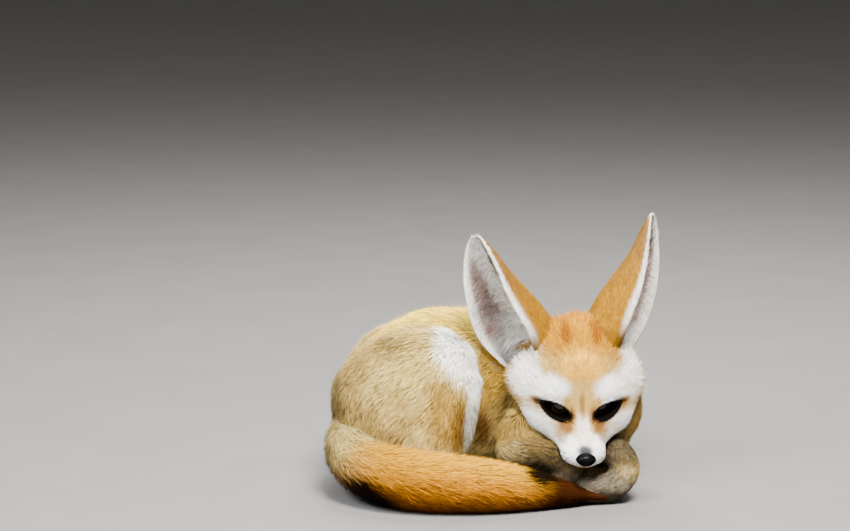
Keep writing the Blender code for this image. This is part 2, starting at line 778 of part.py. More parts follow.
def open_eyes(skull, guides):
    for side in (1, -1):
        mound = ball(EYE_RADIUS + LID_THICKNESS)
        bmesh.ops.transform(mound, matrix=eye_frame(side), verts=mound.verts)
        lids = object_of("lids", mound, guides)
        combine(skull, lids, "UNION")
        opening = object_of("opening", lid_opening(side), guides)
        combine(skull, opening, "DIFFERENCE")
        socket = ball(EYE_RADIUS + GAP / CM)
        bmesh.ops.transform(socket, matrix=eye_frame(side), verts=socket.verts)
        hollow = object_of("hollow", socket, guides)
        combine(skull, hollow, "DIFFERENCE")
        drop(lids, opening, hollow)


def add_eye(side, name, parts):
    bm = ball(EYE_RADIUS, 14, 9)
    bmesh.ops.rotate(bm, verts=bm.verts, matrix=Matrix.Rotation(math.pi / 2, 3, "X"))
    bmesh.ops.transform(bm, matrix=eye_frame(side), verts=bm.verts)
    return object_of(name, bm, parts)


def drill_nostrils(pad, guides):
    for side in (1, -1):
        hole = object_of("hole", nostril(side), guides)
        combine(pad, hole, "DIFFERENCE")
        drop(hole)


def cut_mouth(head, guides):
    points = [(-x, y, z) for x, y, z in MOUTH[:-1]] + [(0, *MOUTH[-1][1:])]
    points += list(reversed(MOUTH[:-1]))
    cutter = object_of("crease", groove(points, MOUTH_GROOVE, head), guides)
    combine(head, cutter, "DIFFERENCE")
    drop(cutter)
    largest_body(head)


def stand_on_origin(objects):
    """Moves the whole animal so that the origin is the bottom centre of its bounding box."""
    corners = np.array([v.co for obj in objects for v in obj.data.vertices])
    low, high = corners.min(axis=0), corners.max(axis=0)
    middle = Vector(((low[0] + high[0]) / 2, (low[1] + high[1]) / 2, low[2]))
    for obj in objects:
        obj.data.transform(Matrix.Translation(-middle))


def main():
    clear_scene()
    parts = collection("fennec fox")
    guides = collection("guides")
    coat = material("sandy coat", COAT, 0.9)
    pale = material("pale coat", PALE, 0.9)
    orange = material("orange brush", ORANGE, 0.9)
    dark = material("dark bare skin", DARK, 0.3)

    head = object_of("head", face_formed(sweep(HEAD, 28, 2)), parts)
    skin = copy_of(head, "skin", guides)
    head_cutter = swollen(head, guides, 1.6 * GAP)
    add_head_locks(head, skin, "coat", guides)
    add_head_locks(head_cutter, skin, "cutter", guides)
    drop(skin)
    open_eyes(head, guides)
    nose = object_of("nose_pad", nose_pad(), parts)
    carve(head, [swollen(nose, guides)])
    drill_nostrils(nose, guides)
    cut_mouth(head, guides)
    eyes = [add_eye(1, "eye_left", parts), add_eye(-1, "eye_right", parts)]
    place = head_to_world()
    for obj in (head, nose, *eyes, head_cutter):
        obj.data.transform(place)

    head_cutters = [head_cutter, head]
    body_cutters = list(head_cutters)
    legs = []
    for name, shapes in LEGS.items():
        leg = fused(name, [sweep(rows, 20, 3) for rows in shapes], 0.18, 5, 360, parts)
        cutter = swollen(leg, guides)
        on_floor(leg, guides)
        legs.append(carve(leg, body_cutters))
        body_cutters.append(cutter)

    trunk = fused("trunk", [sweep(rows, 28, 4) for rows in (TORSO, NECK)], 0.25, 6, 700, guides)
    trunk_cutter = swollen(trunk, guides)
    on_floor(trunk, guides)
    carve(trunk, body_cutters)
    neck = sliced(copy_of(trunk, "neck", parts), *NECK_CUT, True, guides)
    torso = sliced(copy_of(trunk, "torso", parts), *NECK_CUT, False, guides)
    drop(trunk)
    body_cutters.append(trunk_cutter)
    ear_left = add_ear(1, "ear_left", [*head_cutters, trunk_cutter], parts)
    ear_right = add_ear(-1, "ear_right", [*head_cutters, trunk_cutter], parts)
    tail = add_tail(body_cutters, parts, guides)

    for obj in (head, neck, torso, *legs):
        finished(obj, coat)
    for obj in tail:
        finished(obj, orange)
    for obj in (ear_left, ear_right):
        finished(obj, pale)
    for obj in (nose, *eyes):
        finished(obj, dark)
    bpy.data.collections.remove(guides)
    stand_on_origin(parts.objects)


main()
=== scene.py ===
"""The looks of a fennec fox that lies curled up with its tail swept round in front of the paws.

One skin stands for the nodes of flesh. Over it lies a coat of solid tufts, which follow the lie of
the fur and carry the same markings as the skin, with patches of painted shade and painted shadow
among them. Tables are in centimetres, in the frame that the animal was laid out in: the viewer
looks along +Y, and +X is the animal's left.
"""

import json
import math

import bmesh
import bpy
import numpy as np
from mathutils import Euler, Matrix, Vector, noise
from mathutils.bvhtree import BVHTree
from mathutils.kdtree import KDTree

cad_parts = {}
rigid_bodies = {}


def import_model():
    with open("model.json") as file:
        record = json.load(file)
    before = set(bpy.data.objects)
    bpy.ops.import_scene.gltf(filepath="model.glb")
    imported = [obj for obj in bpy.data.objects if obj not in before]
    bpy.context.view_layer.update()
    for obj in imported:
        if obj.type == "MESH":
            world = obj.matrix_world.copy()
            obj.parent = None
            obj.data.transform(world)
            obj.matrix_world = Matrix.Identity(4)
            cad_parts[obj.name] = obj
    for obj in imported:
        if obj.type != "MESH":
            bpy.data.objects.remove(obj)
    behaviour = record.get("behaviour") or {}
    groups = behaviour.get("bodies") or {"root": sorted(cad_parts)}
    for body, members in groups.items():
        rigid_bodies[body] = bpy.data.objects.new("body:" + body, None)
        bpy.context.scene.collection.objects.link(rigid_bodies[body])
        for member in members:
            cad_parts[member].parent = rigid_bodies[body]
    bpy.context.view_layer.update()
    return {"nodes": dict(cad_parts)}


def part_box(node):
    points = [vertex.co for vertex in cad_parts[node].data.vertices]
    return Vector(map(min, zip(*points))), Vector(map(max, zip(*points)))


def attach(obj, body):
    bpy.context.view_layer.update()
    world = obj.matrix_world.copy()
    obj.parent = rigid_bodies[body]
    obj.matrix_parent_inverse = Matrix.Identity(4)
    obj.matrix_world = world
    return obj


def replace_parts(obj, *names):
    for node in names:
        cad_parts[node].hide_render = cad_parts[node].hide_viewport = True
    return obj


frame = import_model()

CM = 0.01
MM = 0.001
UP = Vector((0, 0, 1))
FLOOR = 0.0

# The head's sizes, in its own frame: the middle of the eyes is the origin, the muzzle points
# along -Y and the animal's left is +X.
EYE_SPACING = 2.38
EYE_RADIUS = 0.86
EYE_OUTWARD = math.radians(20)
EYE_UPWARD = math.radians(9)
LID_THICKNESS = 0.10
LID_SLANT = math.radians(17)
# Half width, rise and drop of the opening between the lids, and how pointed its corners are.
LID_OPENING = (1.0, 0.46, 0.46)
ALMOND = 1.5
LID_CORNERS = 48
SOCKET_GAP = 0.02
CORNEA_BULGE = 0.035
CORNEA_REACH = math.radians(33)
NOSE_TIP = Vector((0, -4.42, -1.42))
NOSE_SIZE = Vector((0.66, 0.46, 0.43))
NOSTRIL_SIZE = (0.17, 0.22, 0.10)
HEAD_PLACE = Vector((5.84, -3.4, 6.27))
HEAD_PITCH = math.radians(21)
HEAD_YAW = math.radians(5)
HEAD_ROLL = math.radians(1)

# The head, from the tip of the muzzle to the back of the skull: x, y, z, half width, rise, drop,
# and how square the section is above and below its widest line.
SKULL = (
    (0, -4.40, -1.65, 0.30, 0.25, 0.25, 2.0, 2.0),
    (0, -4.25, -1.65, 0.72, 0.55, 0.50, 2.0, 2.0),
    (0, -3.80, -1.65, 1.15, 0.75, 0.75, 2.1, 2.0),
    (0, -3.10, -1.65, 1.44, 0.95, 0.90, 2.2, 2.0),
    (0, -2.30, -1.56, 1.64, 1.20, 1.10, 2.1, 2.0),
    (0, -1.50, -1.32, 2.15, 1.40, 1.40, 2.0, 1.9),
    (0, -0.70, -0.95, 2.95, 1.75, 1.85, 2.0, 1.8),
    (0, 0.20, -0.60, 3.75, 2.60, 2.20, 1.7, 1.8),
    (0, 1.20, -0.20, 4.30, 3.60, 2.50, 1.5, 1.8),
    (0, 2.30, 0.10, 4.40, 4.30, 2.70, 1.45, 1.9),
    (0, 3.40, 0.20, 4.00, 4.35, 2.70, 1.5, 2.0),
    (0, 4.30, 0.30, 3.10, 3.40, 2.30, 1.7, 2.0),
    (0, 4.90, 0.20, 1.90, 1.80, 1.50, 2.0, 2.0),
    (0, 5.10, 0.25, 0.80, 0.70, 0.70, 2.0, 2.0),
)
# Swellings and hollows of the face: centre on the animal's left, reach and push, mirrored.
FACE_FORMS = (
    ((1.00, -3.5, -1.90), 0.60, (0.16, -0.04, -0.02)),
    ((1.45, -2.1, -0.9), 0.75, (-0.16, 0.0, -0.05)),
    ((1.7, -0.5, 1.0), 0.9, (0.05, -0.28, 0.12)),
    ((2.9, -0.6, -1.3), 1.1, (0.15, -0.15, 0.0)),
    ((3.9, 1.6, -1.2), 1.5, (-0.45, 0.0, 0.25)),
)
MOUTH = (
    (1.80, -1.95, -2.00),
    (1.35, -2.80, -2.26),
    (0.95, -3.60, -2.28),
    (0.45, -4.22, -2.18),
    (0.00, -4.40, -2.10),
)

# The groove of the mouth: its half width in centimetres, and its depth.
MOUTH_WIDTH = 0.085
MOUTH_DEPTH = 0.8 * MM

# Each ear: the middle between its rims at the root, its tip, how far its open side is turned
# outwards, and how deep its cup is drawn. 1 is the animal's left ear.
EARS = {
    1: (Vector((8.75, -1.3, 9.0)), Vector((10.75, 0.0, 18.1)), math.radians(72), 0.84),
    -1: (Vector((2.1, -1.6, 8.4)), Vector((-0.95, -1.6, 16.9)), math.radians(48), 0.94),
}
EAR_WALL = 0.15
# An ear's half width and depth at shares of its length, from the root to the tip.
EAR_WIDTHS = (
    (-0.14, 1.70, 2.90),
    (0.08, 2.35, 3.60),
    (0.22, 2.45, 3.80),
    (0.36, 2.35, 3.60),
    (0.50, 2.13, 3.00),
    (0.62, 1.92, 2.30),
    (0.73, 1.70, 1.65),
    (0.83, 1.36, 1.15),
    (0.91, 0.98, 0.70),
    (0.97, 0.60, 0.35),
    (1.00, 0.25, 0.15),
)
# How far an ear's wall wraps round to each side, how much further at its root, over what share
# of its length, and how far the ear bows back.
EAR_HOLLOW = math.radians(98)
EAR_BASE_WRAP = math.radians(38)
EAR_BASE = 0.3
EAR_BOW = 0.8

# The tail's centre line and the reach of its brush, from the root to the tip.
TAIL = (
    (-8.4, 0.7, 4.1, 1.5),
    (-9.1, -1.9, 3.2, 1.75),
    (-8.3, -4.6, 2.4, 1.9),
    (-6.0, -6.5, 2.1, 2.05),
    (-3.0, -7.3, 1.95, 1.95),
    (0.3, -7.2, 1.7, 1.7),
    (3.0, -6.6, 1.3, 1.25),
    (5.0, -6.1, 0.95, 0.8),
    (6.5, -5.8, 0.7, 0.25),
)
BRUSH_CORE = 0.5

# How the fur lies on the body: a place and the way that the hair points there.
BODY_LIE = (
    ((-9.8, 1.0, 7.0), (-0.5, -0.1, -0.9)),
    ((-10.0, 0.0, 4.0), (-0.1, -0.3, -1.0)),
    ((-8.0, -2.5, 6.0), (-0.4, -0.3, -0.9)),
    ((-6.5, -4.0, 8.0), (-0.8, -0.2, -0.55)),
    ((-4.0, -5.5, 7.0), (-0.75, -0.2, -0.75)),
    ((-4.0, -5.5, 4.0), (-0.6, -0.1, -0.8)),
    ((-3.5, -1.5, 11.2), (-1.0, -0.2, -0.15)),
    ((-1.2, -3.8, 9.8), (-0.45, -0.2, -0.9)),
    ((-1.6, -4.4, 6.5), (-0.15, -0.1, -1.0)),
    ((-6.0, 3.0, 10.3), (-1.0, 0.1, -0.2)),
    ((-2.0, 3.5, 11.3), (-1.0, 0.1, 0.0)),
    ((2.0, 3.5, 10.6), (-1.0, 0.15, 0.0)),
    ((0.8, -0.5, 8.5), (-0.8, -0.1, -0.6)),
    ((0.5, -1.0, 5.0), (-0.6, -0.1, -0.8)),
    ((5.0, 2.2, 10.2), (-0.7, 0.7, 0.0)),
    ((3.0, -1.5, 8.0), (-0.6, 0.1, -0.8)),
    ((3.5, -2.2, 5.5), (-0.3, 0.0, -1.0)),
    ((6.0, -2.8, 5.0), (0.0, 0.0, -1.0)),
    ((8.8, -0.5, 7.5), (0.3, 0.6, -0.75)),
    ((9.5, 0.5, 5.0), (0.1, 0.4, -0.9)),
    ((7.0, 3.0, 8.0), (-0.1, 0.9, -0.5)),
    ((5.0, 6.5, 6.0), (-0.6, 0.3, -0.7)),
    ((0.0, 8.3, 6.5), (-0.8, 0.2, -0.6)),
    ((-4.0, 9.0, 6.0), (-0.6, 0.2, -0.8)),
    ((-8.0, 6.0, 6.0), (-0.6, 0.0, -0.8)),
    ((-3.0, 8.3, 1.0), (1.0, 0.2, -0.1)),
    ((-2.4, -4.8, 1.2), (1.0, -0.1, -0.1)),
    ((-3.2, -5.3, 3.6), (-0.4, -0.1, -0.9)),
    ((2.6, -4.6, 3.6), (0.8, -0.6, 0.0)),
    ((4.9, -5.4, 3.0), (0.5, -0.4, -0.7)),
    ((5.0, -5.3, 1.4), (-0.4, -0.2, -0.9)),
    ((8.4, -3.0, 3.4), (0.4, -0.9, -0.2)),
    ((9.2, -5.0, 2.0), (-0.1, -0.4, -0.9)),
    ((7.0, -5.6, 1.2), (-1.0, -0.1, -0.1)),
)
# The same on the head, in its own frame and on the animal's left. It is mirrored.
HEAD_LIE = (
    ((0.0, -4.2, -1.0), (0.25, 0.8, 0.55)),
    ((0.35, -3.2, -0.65), (0.18, 0.9, 0.35)),
    ((0.2, -1.4, 0.1), (0.05, 0.7, 0.7)),
    ((0.2, -0.4, 1.1), (0.0, 0.5, 0.9)),
    ((0.4, 0.8, 2.5), (0.1, 0.7, 0.7)),
    ((0.5, 2.5, 3.7), (0.1, 1.0, 0.1)),
    ((1.7, -0.7, 1.2), (0.55, 0.3, 0.8)),
    ((2.2, 0.6, 2.1), (0.5, 0.6, 0.55)),
    ((2.5, -0.4, 0.4), (0.9, 0.45, 0.1)),
    ((0.9, -1.7, -0.6), (0.4, 0.7, -0.2)),
    ((1.6, -1.4, -1.0), (0.65, 0.7, -0.25)),
    ((1.3, -2.8, -1.5), (0.4, 0.9, -0.2)),
    ((0.7, -4.0, -1.8), (0.6, 0.75, -0.15)),
    ((2.4, -0.8, -1.0), (0.75, 0.6, -0.3)),
    ((3.2, 0.4, -0.8), (0.75, 0.4, -0.5)),
    ((2.4, -0.4, -2.3), (0.55, 0.2, -0.8)),
    ((3.9, 1.8, 0.5), (0.6, 0.75, -0.25)),
    ((3.8, 2.0, -1.2), (0.6, 0.45, -0.65)),
    ((3.0, 1.5, 2.2), (0.5, 0.8, 0.3)),
    ((0.5, -3.4, -2.5), (0.2, 0.95, -0.3)),
    ((0.5, -0.8, -2.9), (0.1, 0.95, -0.35)),
    ((0.5, 4.8, 1.5), (0.1, 0.5, -0.9)),
)

# The coat of each region: how deep the skin lies under its outer surface, and its tufts' length,
# width and rise over the skin, all in millimetres, and the tufts to a square centimetre.
COAT = {
    "torso": (3.2, 8.0, 0.50, 3.2, 200),
    "neck": (3.4, 11.5, 0.56, 4.4, 190),
    "leg": (2.8, 7.2, 0.48, 2.8, 225),
    "foot": (1.2, 4.4, 0.44, 1.1, 230),
    "crown": (1.0, 11.0, 0.56, 4.8, 220),
    "ruff": (1.2, 13.0, 0.54, 3.8, 200),
    "face": (0.9, 5.6, 0.40, 1.5, 380),
    "muzzle": (0.6, 2.2, 0.36, 0.45, 640),
}

# How much a tuft's length, width and rise vary, and how much of its lock's tone it shares.
LENGTHS = (0.72, 1.18)
WIDTHS = (0.75, 1.2)
RISES = (0.5, 1.3)
LOCK_TONE = 0.45
# How far from its middle a lock draws hair in.
LOCK = 6 * MM

# Markings, with patches of painted shade and painted shadow among them, in the order that they are
# laid on: place, reach, colour and strength. Each fades out between two shares of its reach.
MARK_EDGE = (0.55, 1.2)
BODY_MARKS_AND_SHADE = (
    ((-3.0, 3.5, 11.5), (9.0, 6.0, 2.4), "D8B840", 0.9),
    # The rump's far side: its own duller tan, darkened further as painted shade.
    ((-10.6, 1.0, 6.5), (2.4, 5.0, 5.4), "6E5E38", 0.9),
    ((-7.6, -2.0, 9.2), (2.6, 3.2, 2.0), "9E8448", 0.6),
    ((-4.6, -3.0, 10.8), (3.2, 3.0, 1.3), "B49C56", 0.8),
    ((-4.8, -4.6, 7.6), (3.6, 3.0, 3.0), "C4A962", 0.85),
    ((-8.2, -3.0, 3.6), (2.8, 3.0, 1.6), "B09A60", 0.85),
    # The next two are painted shade on the shank below the knee.
    ((-2.6, -5.0, 6.2), (1.3, 1.8, 2.6), "886622", 0.8),
    ((-1.9, -4.8, 5.3), (0.6, 1.5, 1.7), "5E3F12", 0.85),
    ((0.9, -0.6, 8.6), (1.6, 3.4, 2.6), "9F7A26", 0.95),
    ((0.1, -1.0, 6.9), (1.3, 3.0, 1.6), "A07C28", 0.9),
    # Painted shade in the gap between the hind leg and the flank.
    ((-0.2, -1.0, 4.3), (0.9, 2.2, 1.7), "52300C", 0.9),
    ((-1.7, -3.2, 10.0), (1.8, 3.0, 2.2), "FFFFF4", 1.0),
    ((-0.9, -4.0, 8.2), (0.8, 2.0, 2.0), "FFFFF6", 1.0),
    ((-1.3, -4.1, 5.2), (0.45, 1.3, 2.4), "BEBBB4", 0.9),
    ((1.5, -1.2, 9.0), (1.6, 2.4, 1.5), "A8A298", 0.8),
    ((1.4, -1.6, 5.6), (1.5, 2.4, 1.6), "957A40", 0.85),
    ((1.8, -3.4, 4.4), (2.4, 2.0, 1.6), "7E6632", 0.85),
    ((5.6, 0.8, 10.6), (4.2, 4.2, 3.4), "93601A", 0.85),
    ((6.0, -2.6, 4.0), (2.6, 2.4, 2.6), "6E5833", 0.85),
    # Painted shade in the gap under the chin and behind the foreleg, near the floor.
    ((7.0, -1.4, 1.6), (2.4, 2.2, 1.5), "1C130B", 0.9),
    ((9.2, -0.6, 6.6), (2.0, 3.0, 3.0), "6E4F22", 0.8),
    ((0.0, 3.0, 0.5), (14.0, 9.0, 2.0), "A8926A", 0.7),
)
LEG_MARKS_AND_SHADE = (
    ((1.8, -3.4, 5.0), (2.6, 2.2, 1.8), "80662E", 0.95),
    # The foreleg's own tan, darkened as painted shade from the head above it.
    ((1.4, -4.2, 3.2), (1.6, 1.4, 0.9), "8E7C52", 0.8),
    # Painted shade under the cheek and the muzzle.
    ((3.9, -4.4, 3.3), (2.3, 2.2, 2.0), "3E321E", 0.95),
    ((5.0, -5.0, 1.4), (1.6, 1.6, 1.5), "5C5240", 0.95),
    # Painted shade in the gap between the chin and the paw.
    ((5.6, -3.8, 2.2), (1.3, 1.6, 1.5), "2A2015", 0.8),
    # Painted shade just under the cheek.
    ((3.0, -4.1, 4.0), (1.2, 1.4, 0.9), "5E4C28", 0.7),
    # The left foreleg's own grey-beige, darkened as painted shade under the chin.
    ((8.0, -3.6, 3.4), (2.6, 3.0, 1.7), "4C4230", 0.95),
    ((7.6, -5.2, 1.3), (2.6, 1.6, 1.3), "625C50", 0.95),
    # Painted shadow along the floor under the paw.
    ((7.4, -5.4, 0.5), (2.8, 1.8, 0.7), "3A362E", 0.8),
    ((-2.5, -4.4, 0.9), (4.5, 1.4, 1.3), "A8926A", 0.9),
    ((-2.5, 8.0, 0.9), (4.5, 1.6, 1.3), "A8926A", 0.9),
)
# The head's own, with a patch of painted shade above the nose, on the animal's left and mirrored.
HEAD_MARKS_AND_SHADE = (
    ((0.0, 3.0, 4.4), (4.4, 3.6, 2.8), "84500A", 1.0),
    ((0.0, 1.3, 3.7), (2.9, 1.7, 1.3), "A8720E", 1.0),
    ((0.75, 1.4, 3.8), (0.35, 1.2, 0.9), "6A3404", 0.8),
    ((0.0, 4.8, 1.6), (4.0, 2.0, 3.0), "8C5C16", 0.9),
    ((0.0, -0.2, 2.3), (1.5, 1.4, 1.4), "DDA63A", 0.85),
    ((0.0, -0.9, 1.2), (0.7, 1.2, 0.8), "BBA060", 0.7),
    ((4.2, 2.8, -0.8), (1.6, 1.8, 2.6), "8C7444", 0.7),
    ((3.3, 1.2, 2.7), (1.1, 1.8, 1.3), "DEDCD4", 0.9),
    ((1.95, -0.7, 1.35), (1.35, 1.3, 0.80), "FAFDFF", 1.0),
    ((3.2, 0.5, 1.3), (1.2, 1.6, 1.2), "ECEBE6", 0.9),
    ((2.6, -0.6, -1.2), (1.9, 1.9, 1.3), "FBFCFA", 1.0),
    ((3.2, 0.6, -2.4), (1.2, 1.6, 0.9), "7C6A42", 0.8),
    ((3.3, 0.1, -1.9), (1.0, 1.2, 0.6), "BEA472", 0.7),
    ((2.5, -0.4, -2.3), (0.9, 1.0, 0.45), "BEA472", 0.6),
    ((0.95, -3.2, -1.6), (1.3, 1.7, 1.1), "FBFDFF", 1.0),
    ((0.0, -2.4, -0.5), (0.46, 2.2, 0.7), "F2ECE4", 0.7),
    ((0.0, -1.4, 0.45), (0.18, 1.2, 0.8), "7A4E1E", 0.75),
    ((0.74, -1.80, 0.0), (0.42, 0.80, 0.50), "7C5228", 1.0),
    ((0.94, -2.10, -0.48), (0.44, 0.80, 0.56), "7E5428", 1.0),
    ((1.24, -2.40, -0.96), (0.44, 0.80, 0.54), "9C7444", 0.75),
    ((2.62, -0.55, 0.50), (0.55, 0.70, 0.24), "7A4A1A", 0.9),
    # Painted shade: a bluish dark patch on the muzzle above the nose.
    ((0.0, -4.10, -0.95), (0.62, 0.5, 0.42), "28323C", 0.95),
    ((0.0, -3.9, -2.6), (0.9, 0.9, 0.45), "8C6A38", 0.8),
)
BASE = {"body": "A68C50", "head": "B0904E"}
EAR_LOOKS = {
    "back": "936614",
    "back tip": "7C5A2C",
    "rim": "FAF7EE",
    "inside": "F0ECE6",
    "bare": "8A6C62",
    "notch": "9A4E44",
    # Painted shade deep in the root of the cup.
    "cup_root_shade": "625E5C",
    "mouth": "8E877E",
}
TAIL_LOOKS = {
    "pale": "B49C5E",
    # The brush's own lighter gold, with painted light where the hair faces up.
    "light": "C48E18",
    "golden": "B0740A",
    # The brush's own rust, with painted shade where the hair faces down.
    "rust": "7E3F04",
    "end": "280C04",
    # A dark gland patch under the bend of the root, and painted shadow there.
    "gland_patch_and_shadow": "040201",
    "black": "030202",
}
# The dark patches of the tail: a gland patch under the bend of the root that runs into painted shadow
# there, and a black patch above the end. Each has its colour, place and reach.
TAIL_PATCHES = (
    ("gland_patch_and_shadow", (-8.0, -6.7, 1.0), (2.6, 2.2, 1.2)),
    ("black", (3.2, -6.8, 2.4), (1.3, 1.5, 0.8)),
)
# The line of the mouth, the rims of the lids, single dark tips of hair, and the whiskers.
LIP_LOOK = "2B211E"
LID_LOOK = "0C0908"
TICKED_LOOK = "3A2A14"
WHISKER_LOOK = "16110E"
# The skin between the tufts and the roots of the brush, as a share of the tips' colour, and the
# most light that hair gives back.
BARE_SHADE = 0.62
PALEST = 0.98
# The iris by how far a point is from the line of sight: 1 is a right angle.
IRIS = (
    (0.0, "050404"),
    (0.17, "050404"),
    (0.22, "2A170B"),
    (0.38, "3A2110"),
    (0.46, "0E0806"),
    (0.6, "080606"),
)

# Whiskers and the bristles over the eyes: root, the way that they start, length and droop in
# centimetres, on the animal's left and mirrored.
WHISKERS = (
    ((1.05, -3.95, -1.55), (0.9, -0.10, 0.10), 4.6, 0.7),
    ((1.15, -3.65, -1.40), (1.0, 0.05, 0.22), 5.4, 0.9),
    ((1.10, -3.85, -1.75), (0.9, -0.20, -0.30), 4.4, 0.7),
    ((1.20, -3.50, -1.65), (1.0, 0.00, -0.08), 5.8, 1.1),
    ((1.25, -3.20, -1.50), (0.95, 0.25, 0.12), 5.2, 1.0),
    ((1.15, -3.60, -1.95), (0.85, -0.15, -0.55), 4.2, 0.6),
    ((1.28, -3.15, -1.85), (0.9, 0.00, -0.42), 5.0, 0.8),
    ((1.30, -2.85, -1.70), (0.9, 0.40, -0.05), 4.4, 0.9),
    ((1.20, -3.25, -2.10), (0.75, -0.10, -0.75), 3.4, 0.4),
    ((1.30, -2.80, -2.00), (0.8, 0.10, -0.60), 3.6, 0.5),
    ((1.45, -0.95, 0.95), (0.25, -0.35, 0.90), 2.4, 0.3),
    ((1.80, -0.80, 0.95), (0.45, -0.30, 0.85), 2.0, 0.3),
)
WHISKER_SUNK = 0.25
# Half of a real one's width is 0.1 mm. It is drawn wider, so that it shows.
WHISKER_HALF = 0.26 * MM

# The claws of each foot: where the toes end, the way that they point and the way across them.
CLAWS = (
    ((6.05, -4.9, 0.75), (-1.0, -0.05, -0.30), (0.0, 1.0, 0.0)),
    ((4.45, -4.5, 0.62), (-0.6, -0.5, -0.60), (0.6, -0.8, 0.0)),
    ((0.75, -4.5, 0.62), (1.0, -0.05, -0.30), (0.0, 1.0, 0.0)),
    ((1.00, 8.3, 0.60), (1.0, 0.05, -0.30), (0.0, 1.0, 0.0)),
)
CLAW_LENGTH = 0.62
CLAW_HALF = 0.085
TOE_SPACING = 0.34
# A claw's shares of its length and of its half width.
CLAW_TAPER = ((0, 0.3), (0.05, 1.0), (0.35, 0.9), (0.7, 0.55), (0.95, 0.18), (1.0, 0.05))

# A tuft's sections before its tip: the share of its length, of its width and of its rise.
# A first section with no width is a point, sunk in the skin.
LONG_TUFT = ((0.0, 0.0, 0.0), (0.36, 1.0, 0.66))
SHORT_TUFT = ((0.0, 1.0, 0.0),)
TUFT_SUNK = 0.3 * MM
MOST_TRIANGLES = 196000
# The name of the layout that the looks are baked to, and how much of it a tuft takes.
LAYOUT = "OFBake"
PATCH = 0.003
# The colour attribute that the hair and the skin read their markings and painted shade from.
COAT_COLOUR_LAYER = "fur_colour"

# The hair of an ear's back, its rim and its cup: length, width, rise and number as in COAT, its
# sections, how far it is drawn into locks, and how much its tone varies.
EAR_HAIR = {
    "back": ((3.8, 0.40, 0.6, 330), SHORT_TUFT, 0.2, 0.2),
    "rim": ((4.4, 0.34, 0.6, 420), SHORT_TUFT, 0.15, 0.12),
    "cup": ((11.0, 0.34, 3.0, 190), LONG_TUFT, 0.4, 0.24),
}
EAR_SIDES = {"ear_left": 1, "ear_right": -1}
EAR_RIM_STARTS = 0.87

# The photograph's frame and where the camera stands: it looks along +Y from ten degrees above,
# and a pixel is 0.64 mm at the animal. The anchor is the point on the floor under the front of
# the chest.
IMAGE_WIDTH = 850
IMAGE_HEIGHT = 531
PIXEL = 0.64 * MM
ELEVATION = math.radians(10)
DISTANCE = 1.8
SENSOR = 36
ANCHOR_PLACE = Vector((0, -0.07, 0))
ANCHOR_PIXEL = (490, 511)

# Square area lights: place, size, power and tint. They are aimed at the middle of the animal.
SOFTBOXES = {
    "key": ((0.2, -0.8, 1.3), 0.5, 116, "FFFDF9"),
    "fill": ((-0.7, -0.9, 1.0), 0.6, 48, "F4F7FF"),
    "top": ((0.1, 0.6, 1.1), 0.6, 36, "FFFFFF"),
}
LIT_PLACE = Vector((0, 0, 0.07))
SKY = ("F2F1EE", 0.22)


def srgb(code):
    """A hex sRGB colour as linear values."""
    values = np.array([int(code[i : i + 2], 16) for i in (0, 2, 4)]) / 255
    return np.where(values <= 0.04045, values / 12.92, ((values + 0.055) / 1.055) ** 2.4)


def unit(vectors):
    """Rows of vectors brought to length 1."""
    return vectors / np.maximum(np.linalg.norm(vectors, axis=-1, keepdims=True), 1e-12)


def mixed(first, second, share):
    return first + (second - first) * share


def blended(first, second, shares):
    """Rows of colours or ways, with one share for each row."""
    return mixed(first, second, shares[:, None])


def eased(value, low, high):
    """0 under low, 1 over high and smooth between them."""
    share = np.clip((value - low) / (high - low), 0, 1)
    return share * share * (3 - 2 * share)


def nearness(points, place, reach):
    """1 at a place, and falling away over its reach."""
    return np.exp(-(np.linalg.norm((points - place) / reach, axis=1) ** 2))


def mirrored(points):
    """Points in the head's frame, all brought to the animal's left."""
    folded = points.copy()
    folded[:, 0] = np.abs(points[:, 0])
    return folded


def read(items, key, width, kind=np.float64):
    """One value of each item of a mesh, in rows."""
    values = np.empty(len(items) * width, kind)
    items.foreach_get(key, values)
    return values.reshape(-1, width)


def tree_of(points):
    """A tree that finds the nearest of the points."""
    tree = KDTree(len(points))
    for k, point in enumerate(points):
        tree.insert(point, k)
    tree.balance()
    return tree


def collection(name):
    made = bpy.data.collections.new(name)
    bpy.context.scene.collection.children.link(made)
    return made


def object_of(name, bm, where):
    """An object of a bmesh, with its faces pointing out."""
    bmesh.ops.recalc_face_normals(bm, faces=bm.faces)
    mesh = bpy.data.meshes.new(name)
    bm.to_mesh(mesh)
    bm.free()
    made = bpy.data.objects.new(name, mesh)
    where.objects.link(made)
    return made


def settle(made):
    """Makes the shape that the modifiers give the object's own mesh."""
    graph = bpy.context.evaluated_depsgraph_get()
    graph.update()
    mesh = bpy.data.meshes.new_from_object(made.evaluated_get(graph))
    made.modifiers.clear()
    made.data = mesh
    return made


def combine(made, other, operation):
    change = made.modifiers.new(operation.lower(), "BOOLEAN")
    change.operation = operation
    change.solver = "MANIFOLD"
    change.object = other
    settle(made)
    bpy.data.objects.remove(other)
    return made


def in_order(bm):
    """Puts the faces in the order of their vertices, because some operators leave them in an
    order that changes from run to run."""
    bm.verts.index_update()
    count = len(bm.verts)

    def rank(face):
        first, second, third = sorted(vertex.index for vertex in face.verts)[:3]
        return (first * count + second) * count + third

    bm.faces.sort(key=rank)
    return bm


